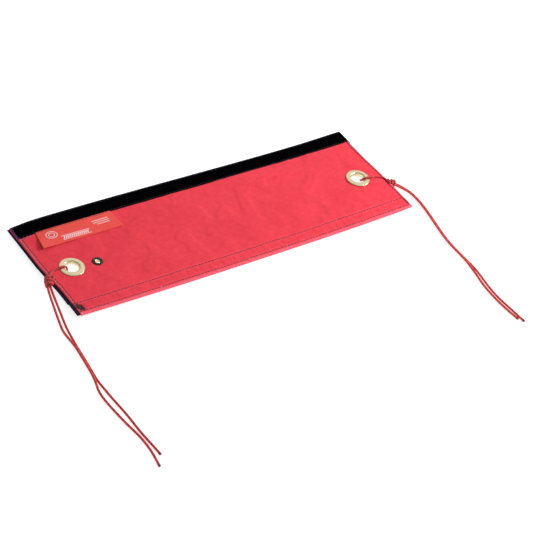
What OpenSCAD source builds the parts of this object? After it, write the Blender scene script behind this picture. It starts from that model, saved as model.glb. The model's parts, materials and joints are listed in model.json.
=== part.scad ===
// Wrap-around rope protector, lying open.
// The origin is on the lining's lower face, at the middle of the panel. +X runs along the panel's
// length, +Y to the edge with the hook strip, +Z up. The panel is cut along its length into seven
// staves, numbered from the far (+Y) edge, which turn about lines on the lining's lower face.

/* [Panel] */
// Length of the panel
panel_l = 450; // [380:1:520]
// Thickness of the padded panel
panel_t = 3.5; // [3.2:0.1:4]
// Thickness of the outer canvas
canvas_t = 1; // [0.7:0.1:1.1]
// Thickness of the lining
lining_t = 0.8; // [0.6:0.1:0.9]
// Depth of the hem at each end
hem_d = 5; // [4:0.5:8]

/* [Staves] */
// Width of the far flap, which carries the hook strip
far_flap_w = 20.5; // [20.5:0.5:24]
// Width of the stave under the label
far_mid_w = 26.5; // [26:0.5:30]
// Width of the stave between the label and the eyelets
far_inner_w = 20; // [16:0.5:22]
// Width of the middle stave, which holds the eyelets
spine_w = 31; // [31:0.5:34]
// Distance from the spine's far side to the panel's middle line
spine_far_y = 8; // [7:0.5:10]
// Width of each of the two narrow near staves
near_narrow_w = 15.5; // [13:0.5:18]
// Width of the near flap, which carries the loop strip
near_flap_w = 21; // [21:0.5:24]
// Gap between neighbouring staves
stave_gap = 0.1; // [0.06:0.02:0.2]

/* [Closure strips] */
// Thickness of the hook strip
hook_t = 1.6; // [1.2:0.1:1.8]
// Thickness of the loop strip
loop_t = 1.4; // [1:0.1:1.5]
// Width of the loop strip
loop_w = 19; // [16:0.5:19.5]

/* [Eyelets] */
// Distance of each large eyelet from the panel's middle, along the length
eyelet_x = 193.5; // [170:0.5:200]
// Position of the large eyelets across the width
eyelet_y = -7.3; // [-8:0.1:-7]
// Diameter of the large eyelets' bore
eyelet_bore_d = 16; // [15.6:0.1:16.4]
// Outside diameter of the large eyelets
eyelet_d = 28.5; // [27:0.5:29]
// Position of the small eyelet along the length
small_x = -163; // [-164:0.5:-162]
// Position of the small eyelet across the width
small_y = -10; // [-12:0.5:-8]
// Diameter of the small eyelet's bore
small_bore_d = 5; // [4:0.5:5]
// Outside diameter of the small eyelet
small_d = 12.4; // [11:0.2:13]

/* [Label] */
// Length of the label
label_l = 94; // [60:1:94]
// Depth of the label, from its sewn edge to its fold
label_d = 26; // [20:0.5:26]
// Position of the label's left end
label_x = -204; // [-206:1:-200]
// Thickness of the folded label
label_t = 1; // [0.8:0.1:1.2]

/* [Cords] */
// Diameter of the cord
cord_d = 3; // [2.6:0.1:3]
// Distance from the panel's end to the middle of each knot
knot_out = 6.5; // [6.5:0.5:8]

/* [Thread] */
// Width of a row of stitches
thread_w = 0.6; // [0.4:0.1:0.8]
// Height of a row of stitches above the fabric
thread_h = 0.2; // [0.1:0.05:0.25]
// Distance of the hem stitching from the panel's ends
hem_stitch_in = 4; // [3:0.5:6]

/* [Hidden] */
$fn = 64;

// Names for the staves' places in the lists below
far_flap = 0;
far_mid = 1;
far_inner = 2;
spine = 3;
near_inner = 4;
near_mid = 5;
near_flap = 6;

stave_w = [far_flap_w, far_mid_w, far_inner_w, spine_w, near_narrow_w, near_narrow_w, near_flap_w];
far_edge_y = spine_far_y + far_inner_w + far_mid_w + far_flap_w;

// Total width of the staves before number i, counted from the far edge
function width_before(i) = i == 0 ? 0 : width_before(i - 1) + stave_w[i - 1];

// The far and near sides of stave i, before the gap is taken off
function stave_hi(i) = far_edge_y - width_before(i);
function stave_lo(i) = stave_hi(i) - stave_w[i];

end_x = panel_l / 2;
near_edge_y = stave_lo(near_flap);
canvas_z = panel_t - canvas_t;
fold_t = 1;
lip_z = 1.4;
end_lining_z = 0.6;
rest_half_l = 152;
skin_gap = 0.02;

// ---- Fabric ----

// A slab over stave i, from z0 to z1 and x0 to x1
module stave_slab(i, x0, x1, z0, z1) {
    y0 = stave_lo(i) + stave_gap / 2;
    y1 = stave_hi(i) - stave_gap / 2;
    translate([x0, y0, z0])
        cube([x1 - x0, y1 - y0, z1 - z0]);
}

// Holes through the spine for the eyelets' barrels
module spine_holes(large_r, small_r) {
    for (side = [-1, 1])
        translate([side * eyelet_x, eyelet_y, -1])
            cylinder(r = large_r, h = panel_t + 2);
    translate([small_x, small_y, -1])
        cylinder(r = small_r, h = panel_t + 2);
}

// Upper canvas of a padded stave, turned down over the panel's two ends
module canvas_slab(i) {
    stave_slab(i, -end_x, end_x, canvas_z, panel_t);
    for (side = [-1, 1])
        stave_slab(i, side * end_x - (side > 0 ? fold_t : 0), side * end_x + (side > 0 ? 0 : fold_t),
            lip_z, canvas_z + skin_gap);
}

// Lining of a padded stave, thicker along the hems
module lining_slab(i) {
    stave_slab(i, -end_x, end_x, 0, lining_t);
    for (side = [-1, 1])
        stave_slab(i, side > 0 ? end_x - hem_d : -end_x, side > 0 ? end_x : -end_x + hem_d, 0, lip_z);
}

// Padding of a padded stave, stopping short of the hems
module padding_slab(i) {
    stave_slab(i, -end_x + hem_d, end_x - hem_d, lining_t, canvas_z);
}

module canvas_far_flap() {
    color("crimson") stave_slab(far_flap, -end_x, end_x, lining_t, panel_t - hook_t);
}

module canvas_far_mid() {
    color("crimson") canvas_slab(far_mid);
}

module canvas_far_inner() {
    color("crimson") canvas_slab(far_inner);
}

module canvas_spine() {
    color("crimson") difference() {
        canvas_slab(spine);
        spine_holes(barrel_r, small_barrel_r);
    }
}

module canvas_near_inner() {
    color("crimson") canvas_slab(near_inner);
}

module canvas_near_mid() {
    color("crimson") canvas_slab(near_mid);
}

// The near flap's canvas, folded round the panel's near edge
module canvas_near_flap() {
    color("crimson") {
        canvas_slab(near_flap);
        translate([-end_x, near_edge_y + stave_gap / 2, 0])
            cube([panel_l, fold_t, panel_t]);
    }
}

module lining_far_flap() {
    color("midnightblue") stave_slab(far_flap, -end_x, end_x, 0, lining_t);
}

module lining_far_mid() {
    color("midnightblue") lining_slab(far_mid);
}

module lining_far_inner() {
    color("midnightblue") lining_slab(far_inner);
}

// The spine's lining steps up at the ends, so that washers and cords clear the resting face
module lining_spine() {
    end_top_z = end_lining_z + lining_t;
    color("midnightblue") difference() {
        union() {
            stave_slab(spine, -rest_half_l, rest_half_l, 0, lining_t);
            stave_slab(spine, -end_x, -rest_half_l, end_lining_z, end_top_z);
            stave_slab(spine, rest_half_l, end_x, end_lining_z, end_top_z);
        }
        spine_holes(barrel_r, small_barrel_r);
    }
}

module lining_near_inner() {
    color("midnightblue") lining_slab(near_inner);
}

module lining_near_mid() {
    color("midnightblue") lining_slab(near_mid);
}

// The near flap's lining lies between its canvas and the loop strip
module lining_near_flap() {
    y0 = near_edge_y + fold_t + stave_gap / 2;
    y1 = stave_hi(near_flap) - stave_gap / 2;
    color("midnightblue")
        translate([-end_x + fold_t, y0, loop_t])
            cube([panel_l - 2 * fold_t, y1 - y0, canvas_z - loop_t]);
}

module padding_far_mid() {
    color("linen") padding_slab(far_mid);
}

module padding_far_inner() {
    color("linen") padding_slab(far_inner);
}

module padding_spine() {
    end_top_z = end_lining_z + lining_t;
    color("linen") difference() {
        union() {
            stave_slab(spine, -rest_half_l, rest_half_l, lining_t, canvas_z);
            stave_slab(spine, -end_x + hem_d, end_x - hem_d, end_top_z, canvas_z);
        }
        spine_holes(barrel_r, small_barrel_r);
    }
}

module padding_near_inner() {
    color("linen") padding_slab(near_inner);
}

module padding_near_mid() {
    color("linen") padding_slab(near_mid);
}

// ---- Closure strips and label ----

module hook_strip() {
    color("black") stave_slab(far_flap, -end_x, end_x, panel_t - hook_t, panel_t);
}

module loop_strip() {
    color("black")
        translate([-end_x + fold_t, stave_hi(near_flap) - stave_gap / 2 - loop_w, 0])
            cube([panel_l - 2 * fold_t, loop_w, loop_t]);
}

module label() {
    clear_z = 0.05;
    color("tomato")
        translate([label_x, stave_hi(far_mid) - stave_gap / 2 - label_d, panel_t + clear_z])
            cube([label_l, label_d, label_t]);
}

// ---- Thread ----

strip_stitch_in = 2;
near_row_in = 4.5;
far_row_in = 17.5;
row_end_in = 2;

// A row of stitches along the panel, on its upper face
module long_row(y) {
    translate([-end_x + row_end_in, y - thread_w / 2, panel_t])
        cube([panel_l - 2 * row_end_in, thread_w, thread_h]);
}

// The hem stitches at both ends of stave i
module end_rows(i) {
    x = end_x - hem_stitch_in;
    for (side = [-1, 1])
        stave_slab(i, side * x - thread_w / 2, side * x + thread_w / 2, panel_t, panel_t + thread_h);
}

module end_thread_far_mid() {
    color("darkslategray") end_rows(far_mid);
}

module end_thread_far_inner() {
    color("darkslategray") end_rows(far_inner);
}

module end_thread_spine() {
    color("darkslategray") end_rows(spine);
}

module end_thread_near_inner() {
    color("darkslategray") end_rows(near_inner);
}

module end_thread_near_mid() {
    color("darkslategray") end_rows(near_mid);
}

// The hem stitches of the near flap stop at the first long row
module end_thread_near_flap() {
    x = end_x - hem_stitch_in;
    y0 = near_edge_y + far_row_in + thread_w;
    y1 = stave_hi(near_flap) - stave_gap / 2;
    color("darkslategray")
        for (side = [-1, 1])
            translate([side * x - thread_w / 2, y0, panel_t])
                cube([thread_w, y1 - y0, thread_h]);
}

module hook_strip_thread() {
    color("black") {
        long_row(far_edge_y - strip_stitch_in);
        long_row(stave_lo(far_flap) + strip_stitch_in);
    }
}

module loop_strip_thread() {
    color("darkslategray") {
        long_row(near_edge_y + near_row_in);
        long_row(near_edge_y + far_row_in);
    }
}

// Reversing stitches between the two near rows, at the near left corner
module corner_tack() {
    tack_in = 6;
    tack_pitch = 2;
    y0 = near_edge_y + near_row_in + thread_w;
    y1 = near_edge_y + far_row_in - thread_w;
    color("black")
        for (i = [0:3])
            translate([-end_x + tack_in + i * tack_pitch, y0, panel_t])
                cube([thread_w, y1 - y0, thread_h]);
}

// ---- Eyelets ----

barrel_wall = 1;
barrel_r = eyelet_bore_d / 2 + barrel_wall;
small_barrel_r = small_bore_d / 2 + 0.7;
flange_h = 1;
roll_r = barrel_r + 1.5;
washer_t = 0.5;
metal_low_z = 0.05;

// Half of a domed flange in section, from radius r0 to r1, sitting on height z
function dome(r0, r1, z, h, steps = 8) =
    [for (i = [0:steps]) [(r0 + r1) / 2 + (r1 - r0) / 2 * cos(180 * i / steps), z + h * sin(180 * i / steps)]];

// Large eyelet: a domed flange, a barrel, and the barrel's lower rim turned over inside the washer
module large_eyelet(side) {
    bore_r = eyelet_bore_d / 2;
    color("gold")
        translate([side * eyelet_x, eyelet_y, 0])
            rotate_extrude()
                polygon(concat(
                    [[bore_r, metal_low_z], [roll_r, metal_low_z], [roll_r, metal_low_z + washer_t]],
                    [[barrel_r - skin_gap, metal_low_z + washer_t], [barrel_r - skin_gap, panel_t]],
                    dome(bore_r, eyelet_d / 2, panel_t, flange_h)));
}

// Flat washer under a large eyelet
module large_washer(side) {
    color("goldenrod")
        translate([side * eyelet_x, eyelet_y, metal_low_z])
            difference() {
                cylinder(r = eyelet_d / 2 - 0.5, h = washer_t);
                translate([0, 0, -1])
                    cylinder(r = roll_r + 0.05, h = washer_t + 2);
            }
}

module left_eyelet() {
    large_eyelet(-1);
}

module right_eyelet() {
    large_eyelet(1);
}

module left_eyelet_washer() {
    large_washer(-1);
}

module right_eyelet_washer() {
    large_washer(1);
}

liner_wall = 0.4;
liner_r = small_bore_d / 2 + liner_wall;

// Small eyelet: a black flange and barrel round a brass liner
module small_eyelet() {
    color("black")
        translate([small_x, small_y, 0])
            rotate_extrude()
                polygon(concat(
                    [[liner_r + skin_gap, end_lining_z], [small_barrel_r - skin_gap, end_lining_z]],
                    [[small_barrel_r - skin_gap, panel_t]],
                    dome(liner_r + skin_gap, small_d / 2, panel_t, 0.8)));
}

// Brass liner of the small eyelet, with its washer under the lining
module small_eyelet_liner() {
    color("gold")
        translate([small_x, small_y, 0])
            difference() {
                union() {
                    cylinder(r = liner_r, h = panel_t);
                    translate([0, 0, metal_low_z])
                        cylinder(r = small_d / 2 - 0.7, h = washer_t);
                }
                translate([0, 0, -1])
                    cylinder(r = small_bore_d / 2, h = panel_t + 2);
                translate([0, 0, -1])
                    cylinder(r = liner_r + 1, h = 1 + metal_low_z);
            }
}

// ---- Cords ----

cord_r = cord_d / 2;
cord_z = -cord_r;
knot_turns = 2.5;
knot_pitch = cord_d + 0.05;
knot_coil_r = cord_r + 1.6;
tail_split_y = -150;
tail_split_gap = 0.4;
tip_l = 4;

// A point on a Catmull-Rom curve through p0..p3, at t between p1 and p2
function curve_point(p0, p1, p2, p3, t) =
    0.5 * (2 * p1 + (p2 - p0) * t + (2 * p0 - 5 * p1 + 4 * p2 - p3) * t * t
        + (3 * p1 - p0 - 3 * p2 + p3) * t * t * t);

// A smooth path through the given points, with `steps` pieces between neighbours
function smooth_path(p, steps) =
    let (n = len(p))
    concat([for (i = [0:n - 2], s = [0:steps - 1])
        curve_point(p[max(i - 1, 0)], p[i], p[i + 1], p[min(i + 2, n - 1)], s / steps)], [p[n - 1]]);

function unit(v) = v / norm(v);

// Direction of a path at its point i
function heading(path, i) = unit(path[min(i + 1, len(path) - 1)] - path[max(i - 1, 0)]);

// A closed tube of radius r along a path. `up` is never parallel to the path
module tube(path, r, up, sides = 10) {
    n = len(path);
    rings = [for (i = [0:n - 1])
        let (t = heading(path, i), a = unit(cross(t, up)), b = cross(a, t))
        for (k = [0:sides - 1])
            path[i] + r * cos(360 * k / sides) * a + r * sin(360 * k / sides) * b];
    walls = [for (i = [0:n - 2], k = [0:sides - 1])
        let (j = (k + 1) % sides)
        [i * sides + k, i * sides + j, (i + 1) * sides + j, (i + 1) * sides + k]];
    first = [for (k = [sides - 1:-1:0]) k];
    last = [for (k = [0:sides - 1]) (n - 1) * sides + k];
    polyhedron(points = rings, faces = concat([first], walls, [last]), convexity = 6);
}

// The loop through an eyelet: over the flange, down the bore and back under the panel.
// side is -1 for the left cord. The upper leg bends out to rise_y, and the lower leg passes leave_y
// shortly before the panel's end
module cord_loop(side, knot_y, rise_y, leave_y) {
    over_z = panel_t + cord_r + 0.25;
    under_z = cord_z - 0.1;
    over_flange_x = eyelet_x + 9.2;
    in_bore_x = eyelet_x + 5.2;
    upper_leg = [
        [end_x + 0.9, knot_y + 4, over_z],
        [end_x - 9, rise_y, over_z],
        [over_flange_x + 4.8, rise_y + 1.2, over_z + 0.5],
        [over_flange_x, eyelet_y + 3.4, over_z + 1.3]
    ];
    through_bore = [
        [in_bore_x, eyelet_y + 2.2, panel_t + 0.4],
        [in_bore_x - 0.5, eyelet_y + 1.2, 1.2]
    ];
    lower_leg = [
        [in_bore_x + 1.2, eyelet_y + 0.6, under_z + 0.3],
        [in_bore_x + 5.8, eyelet_y, under_z],
        [end_x - 12, eyelet_y - 1.5, under_z],
        [end_x - 4, leave_y, under_z],
        [end_x, knot_y + 3.2, under_z + 0.6]
    ];
    path = smooth_path([for (p = concat(upper_leg, through_bore, lower_leg))
        [side * p[0], p[1], p[2]]], 4);
    color("firebrick") tube(path, cord_r, [0, 1, 0]);
}

// The knot: a coil of cord round the place where the loop's two legs meet.
// turn is the compass direction in which the tails leave it
module cord_knot(side, knot_y, turn) {
    steps = 16;
    path = [for (i = [0:knot_turns * steps])
        let (a = 360 * i / steps)
        [knot_coil_r * cos(a), knot_coil_r * sin(a), knot_pitch * (i / steps - knot_turns / 2)]];
    color("firebrick")
        translate([side * (end_x + knot_out), knot_y, knot_coil_r + cord_r - cord_d])
            rotate([0, 90, turn])
                tube(path, cord_r, [0, 0, 1]);
}

// A length of cord lying flat, through the given points of the floor plan
module flat_cord(plan, steps = 4) {
    tube(smooth_path([for (p = plan) [p[0], p[1], cord_z]], steps), cord_r, [0, 0, 1]);
}

// Floor plans of the tails, from the knot to the split line and on to their free ends
left_inner_tail = [[-236.2, -30], [-236.5, -50], [-241, -77], [-243.7, -99], [-245.6, -121],
    [-248.4, tail_split_y + tail_split_gap / 2]];
left_outer_tail = [[-239.8, -30], [-242.5, -50], [-246.8, -77], [-247.6, -99], [-249, -121],
    [-252, tail_split_y + tail_split_gap / 2]];
left_inner_end = [[-248.4, tail_split_y - tail_split_gap / 2], [-249.5, -180], [-247, -212],
    [-246.5, -240], [-244.5, -262], [-244, -270]];
left_outer_end = [[-252, tail_split_y - tail_split_gap / 2], [-257.5, -178], [-254, -222],
    [-250.2, -245], [-250, -266], [-252.4, -283]];
right_inner_tail = [[240, -34], [241, -48], [241.6, -64], [239.8, -82], [235.4, -106], [231, -132],
    [230.2, tail_split_y + tail_split_gap / 2]];
right_outer_tail = [[243.6, -34], [245.2, -48], [245.2, -64], [243.2, -82], [238.8, -106], [234.4, -132],
    [233.8, tail_split_y + tail_split_gap / 2]];
right_inner_end = [[230.2, tail_split_y - tail_split_gap / 2], [230.6, -185], [225.8, -212],
    [225, -238], [226.4, -258], [228, -268]];
right_outer_end = [[233.8, tail_split_y - tail_split_gap / 2], [234.2, -185], [230, -216],
    [229.2, -236], [231, -256], [232.4, -274]];

// The heat-sealed tip that carries on from the end of a floor plan
module cord_tip(plan) {
    last = plan[len(plan) - 1];
    along = unit(last - plan[len(plan) - 2]);
    tube([[last[0], last[1], cord_z] + 0.02 * [along[0], along[1], 0],
        [last[0], last[1], cord_z] + tip_l * [along[0], along[1], 0]], cord_r, [0, 0, 1]);
}

left_knot_y = -17.5;
right_knot_y = -25;

module left_cord_loop() {
    cord_loop(-1, left_knot_y, -5, -12.2);
}

module right_cord_loop() {
    cord_loop(1, right_knot_y, -12.5, -18);
}

module left_cord_knot() {
    cord_knot(-1, left_knot_y, 62);
}

module right_cord_knot() {
    cord_knot(1, right_knot_y, -15);
}

module left_cord_tails() {
    color("firebrick") {
        flat_cord(left_inner_tail);
        flat_cord(left_outer_tail);
    }
}

module right_cord_tails() {
    color("firebrick") {
        flat_cord(right_inner_tail);
        flat_cord(right_outer_tail);
    }
}

module left_cord_tail_ends() {
    color("firebrick") {
        flat_cord(left_inner_end);
        flat_cord(left_outer_end);
    }
}

module right_cord_tail_ends() {
    color("firebrick") {
        flat_cord(right_inner_end);
        flat_cord(right_outer_end);
    }
}

module left_cord_tips() {
    color("maroon") {
        cord_tip(left_inner_end);
        cord_tip(left_outer_end);
    }
}

module right_cord_tips() {
    color("maroon") {
        cord_tip(right_inner_end);
        cord_tip(right_outer_end);
    }
}

canvas_far_flap();
canvas_far_mid();
canvas_far_inner();
canvas_spine();
canvas_near_inner();
canvas_near_mid();
canvas_near_flap();
lining_far_flap();
lining_far_mid();
lining_far_inner();
lining_spine();
lining_near_inner();
lining_near_mid();
lining_near_flap();
padding_far_mid();
padding_far_inner();
padding_spine();
padding_near_inner();
padding_near_mid();
end_thread_far_mid();
end_thread_far_inner();
end_thread_spine();
end_thread_near_inner();
end_thread_near_mid();
end_thread_near_flap();
hook_strip();
hook_strip_thread();
loop_strip();
loop_strip_thread();
corner_tack();
label();
left_eyelet();
right_eyelet();
left_eyelet_washer();
right_eyelet_washer();
small_eyelet();
small_eyelet_liner();
left_cord_loop();
left_cord_knot();
left_cord_tails();
left_cord_tail_ends();
left_cord_tips();
right_cord_loop();
right_cord_knot();
right_cord_tails();
right_cord_tail_ends();
right_cord_tips();
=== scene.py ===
import json
import math

import bpy
import numpy as np
from mathutils import Matrix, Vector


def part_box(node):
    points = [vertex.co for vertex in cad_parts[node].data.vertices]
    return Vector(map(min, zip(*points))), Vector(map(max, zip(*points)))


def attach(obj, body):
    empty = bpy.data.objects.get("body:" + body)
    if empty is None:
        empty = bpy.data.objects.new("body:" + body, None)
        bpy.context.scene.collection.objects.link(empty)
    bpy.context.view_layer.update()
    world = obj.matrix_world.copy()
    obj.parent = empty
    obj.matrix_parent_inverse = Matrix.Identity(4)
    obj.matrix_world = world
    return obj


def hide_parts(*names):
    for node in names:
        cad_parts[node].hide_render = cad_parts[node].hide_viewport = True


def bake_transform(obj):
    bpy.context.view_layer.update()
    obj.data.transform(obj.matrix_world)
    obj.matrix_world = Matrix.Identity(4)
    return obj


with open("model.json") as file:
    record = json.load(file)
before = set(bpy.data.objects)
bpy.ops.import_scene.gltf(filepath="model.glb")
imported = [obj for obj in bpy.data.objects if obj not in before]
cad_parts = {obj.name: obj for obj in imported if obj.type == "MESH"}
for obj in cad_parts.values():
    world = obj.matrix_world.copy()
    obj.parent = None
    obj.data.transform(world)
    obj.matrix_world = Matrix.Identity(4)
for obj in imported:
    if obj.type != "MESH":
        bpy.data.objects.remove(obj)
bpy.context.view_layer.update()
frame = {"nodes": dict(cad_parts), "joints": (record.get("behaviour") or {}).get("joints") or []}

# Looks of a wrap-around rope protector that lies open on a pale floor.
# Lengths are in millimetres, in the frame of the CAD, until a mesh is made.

MM = 0.001
SEED = 38


def box_mm(node):
    low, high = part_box(node)
    return np.array(low) / MM, np.array(high) / MM


def middle_mm(node):
    low, high = box_mm(node)
    return (low + high) / 2


def radius_mm(node):
    low, high = box_mm(node)
    return (high[0] - low[0]) / 2


JOINTS = {joint["name"]: joint for joint in frame["joints"]}


def joint_mm(name):
    return np.array(JOINTS[name]["pos_m"]) / MM


# ---- Places, read from the CAD ----

SIDES = {-1: "left", 1: "right"}
CANVAS_HIGH = box_mm("canvas_spine")[1]
END_X, TOP_Z = CANVAS_HIGH[0], CANVAS_HIGH[2]
NEAR_Y = box_mm("canvas_near_flap")[0][1]
HOOKS_LOW, HOOKS_HIGH = box_mm("hook_strip")
TAPE_Y, TAPE_LOW_Z, FAR_Y = HOOKS_LOW[1], HOOKS_LOW[2], HOOKS_HIGH[1]
LOOP_LOW, LOOP_HIGH = box_mm("loop_strip")
LINING_T = box_mm("lining_far_flap")[1][2]
PADDING_X = box_mm("padding_far_mid")[1][0]
LABEL_LOW, LABEL_HIGH = box_mm("label")
EYELETS = {side: middle_mm(f"{name}_eyelet") for side, name in SIDES.items()}
SMALL_EYELET = middle_mm("small_eyelet")
FLANGE_R = radius_mm("left_eyelet")
WASHER_R = radius_mm("left_eyelet_washer")
SMALL_FLANGE_R = radius_mm("small_eyelet")
SMALL_WASHER_R = radius_mm("small_eyelet_liner")

BORE_R = 8.0
BARREL_R = 9.0
SMALL_BORE_R = 2.5
SMALL_BARREL_R = 3.2
FLOOR_Z = -3.25

# The staves from the far edge to the near edge, and the hinges between them
STAVES = ["far_flap", "far_mid", "far_inner", "spine", "near_inner", "near_mid", "near_flap"]
HINGES = ["far_flap_wrap", "far_mid_wrap", "far_inner_wrap", "near_inner_wrap", "near_mid_wrap",
          "near_flap_wrap"]
HINGE_Y = [joint_mm(name)[1] for name in HINGES]
FAR_HINGE = 0
NEAR_HINGE = 5

# A fabric piece reaches from the middle of one stave to the middle of the next
CUT_Y = [FAR_Y] + [(a + b) / 2 for a, b in zip(HINGE_Y[:-1], HINGE_Y[1:])] + [NEAR_Y]

# Rows of stitches: HEM_ROW and NEAR_ROW_AT are distances from an edge, the other rows places
# in y. STITCH_PITCH is the step from one stitch to the next
HEM_ROW = 3.2
NEAR_ROW_AT = (4.5, 17.5)
NEAR_ROWS = [NEAR_Y + at for at in NEAR_ROW_AT]
TAPE_ROWS = [TAPE_Y + 2.0, FAR_Y - 2.0]
STITCH_PITCH = 4.3


def ride_hinge(piece):
    """Bakes a fabric piece's transform into its mesh."""
    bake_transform(piece)


def on_hinge():
    return lambda piece: ride_hinge(piece)


def on_spine(piece):
    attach(piece, "spine")


def settle(piece, ride, *nodes):
    """Hands a piece to `ride`, and hides the CAD nodes it stands for."""
    if nodes:
        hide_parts(*nodes)
    ride(piece)


# ---- Small maths ----

def smooth_step(value):
    t = np.clip(value, 0.0, 1.0)
    return t * t * (3 - 2 * t)


def bell(value):
    return np.exp(-value ** 2)


def unit(vectors):
    return vectors / np.maximum(np.linalg.norm(vectors, axis=-1, keepdims=True), 1e-12)


def away_from(centre, x, y):
    """Distance of each place (x, y) from an upright axis."""
    return np.hypot(x - centre[0], y - centre[1])


def curve(points, steps):
    """A smooth path through the given points, with `steps` pieces between neighbours."""
    points = np.array(points, float)
    padded = np.vstack([points[:1], points, points[-1:]])
    t = np.linspace(0, 1, steps, endpoint=False)[:, None]
    pieces = []
    for p0, p1, p2, p3 in zip(padded[:-3], padded[1:-2], padded[2:-1], padded[3:]):
        bend = 2 * p0 - 5 * p1 + 4 * p2 - p3
        twist = 3 * p1 - p0 - 3 * p2 + p3
        pieces.append(0.5 * (2 * p1 + (p2 - p0) * t + bend * t ** 2 + twist * t ** 3))
    return np.vstack(pieces + [points[-1:]])


def relaxed(path, passes):
    """The path without its kinks; its ends stay where they are."""
    path = path.copy()
    for _ in range(passes):
        path[1:-1] = (path[:-2] + 2 * path[1:-1] + path[2:]) / 4
    return path


def evenly(path, step):
    """The same path with points `step` apart."""
    lengths = np.concatenate([[0], np.cumsum(np.linalg.norm(np.diff(path, axis=0), axis=1))])
    count = max(2, int(round(lengths[-1] / step)) + 1)
    at = np.linspace(0, lengths[-1], count)
    return np.stack([np.interp(at, lengths, path[:, k]) for k in range(path.shape[1])], 1)


# ---- Meshes ----

def add_object(name, data):
    made = bpy.data.objects.new(name, data)
    bpy.context.scene.collection.objects.link(made)
    return made


def new_piece(name, points, faces, material, uv=None, normals=None, flat=None):
    """A mesh object from points in millimetres. uv and normals have one row for each face corner."""
    mesh = bpy.data.meshes.new(name)
    mesh.from_pydata((np.asarray(points) * MM).tolist(), [], faces)
    smooth = np.ones(len(mesh.polygons), bool)
    if flat is not None:
        smooth[flat] = False
    mesh.polygons.foreach_set("use_smooth", smooth)
    if uv is not None:
        layer = mesh.uv_layers.new(name="fabric")
        layer.data.foreach_set("uv", np.asarray(uv, np.float32).ravel())
    if normals is not None:
        mesh.normals_split_custom_set(normals)
    mesh.materials.append(material)
    mesh.update()
    piece = add_object(name, mesh)
    return piece


def grid_corners(shape):
    """The four corners of each cell of a grid of points."""
    index = np.arange(shape[0] * shape[1]).reshape(shape)
    return index[:-1, :-1], index[:-1, 1:], index[1:, 1:], index[1:, :-1]


def grid_faces(shape):
    return np.stack(grid_corners(shape), -1).reshape(-1, 4).tolist()


def ring_walls(rings, sides, closed=False):
    """The faces between neighbouring rings of `sides` points, as (rings, sides, 4) indices."""
    ring = np.arange(rings if closed else rings - 1)[:, None] * sides
    after_ring = (ring + sides) % (rings * sides)
    k = np.arange(sides)[None, :]
    after = (k + 1) % sides
    corners = (ring + k, ring + after, after_ring + after, after_ring + k)
    return np.stack(np.broadcast_arrays(*corners), -1)


def grid_normals(x, y, z):
    along = np.stack([np.gradient(a, axis=1) for a in (x, y, z)], -1)
    across = np.stack([np.gradient(a, axis=0) for a in (x, y, z)], -1)
    return unit(np.cross(along, across))


# Grid points this near a hole's rim may move onto it
RIM_REACH = 2.2


def punched(x, y, keep, hole):
    """A grid with one round hole (x, y, radius): points near its rim move onto the rim."""
    radius = hole[2]
    far = away_from(hole, x, y)
    inside = far < radius
    keep &= ~(inside[:-1, :-1] | inside[:-1, 1:] | inside[1:, 1:] | inside[1:, :-1])
    gone = ~keep
    touches = np.zeros_like(inside)
    for di in (0, 1):
        for dj in (0, 1):
            touches[di:di + gone.shape[0], dj:dj + gone.shape[1]] |= gone
    rim = (~inside) & (far < radius + RIM_REACH) & touches
    scale = np.where(rim, radius / np.maximum(far, 1e-6), 1.0)
    return hole[0] + (x - hole[0]) * scale, hole[1] + (y - hole[1]) * scale, keep


def slab(name, x, y, top, bottom, rows, holes, material):
    """A closed sheet of fabric: the rows `rows` of a grid, between the heights top and bottom."""
    up = grid_normals(x, y, top)[rows]
    down = -grid_normals(x, y, bottom)[rows]
    x, y, top, bottom = x[rows].copy(), y[rows].copy(), top[rows], bottom[rows]
    keep = np.ones((x.shape[0] - 1, x.shape[1] - 1), bool)
    for hole in holes:
        x, y, keep = punched(x, y, keep, hole)
    count = x.size
    a, b, c, d = grid_corners(x.shape)
    top_faces = np.stack([a, b, c, d], -1)[keep]
    bottom_faces = np.stack([d, c, b, a], -1)[keep] + count
    padded = np.pad(keep, 1)
    walls = []
    for p, q, di, dj in ((a, b, 0, 1), (b, c, 1, 2), (c, d, 2, 1), (d, a, 1, 0)):
        beside = padded[di:di + keep.shape[0], dj:dj + keep.shape[1]]
        walls.append(np.stack([q, p, p + count, q + count], -1)[keep & ~beside])
    faces = np.concatenate([top_faces, bottom_faces] + walls)
    flat = np.arange(len(top_faces) + len(bottom_faces), len(faces))
    points = np.concatenate([np.stack([x, y, z], -1).reshape(-1, 3) for z in (top, bottom)])
    normals = np.concatenate([up.reshape(-1, 3), down.reshape(-1, 3)])[faces]
    normals[flat] = 0
    used, renumbered = np.unique(faces, return_inverse=True)
    points = points[used]
    uv = points[renumbered.ravel(), :2]
    return new_piece(name, points, renumbered.reshape(-1, 4).tolist(), material, uv,
                     normals.reshape(-1, 3), flat)


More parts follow.
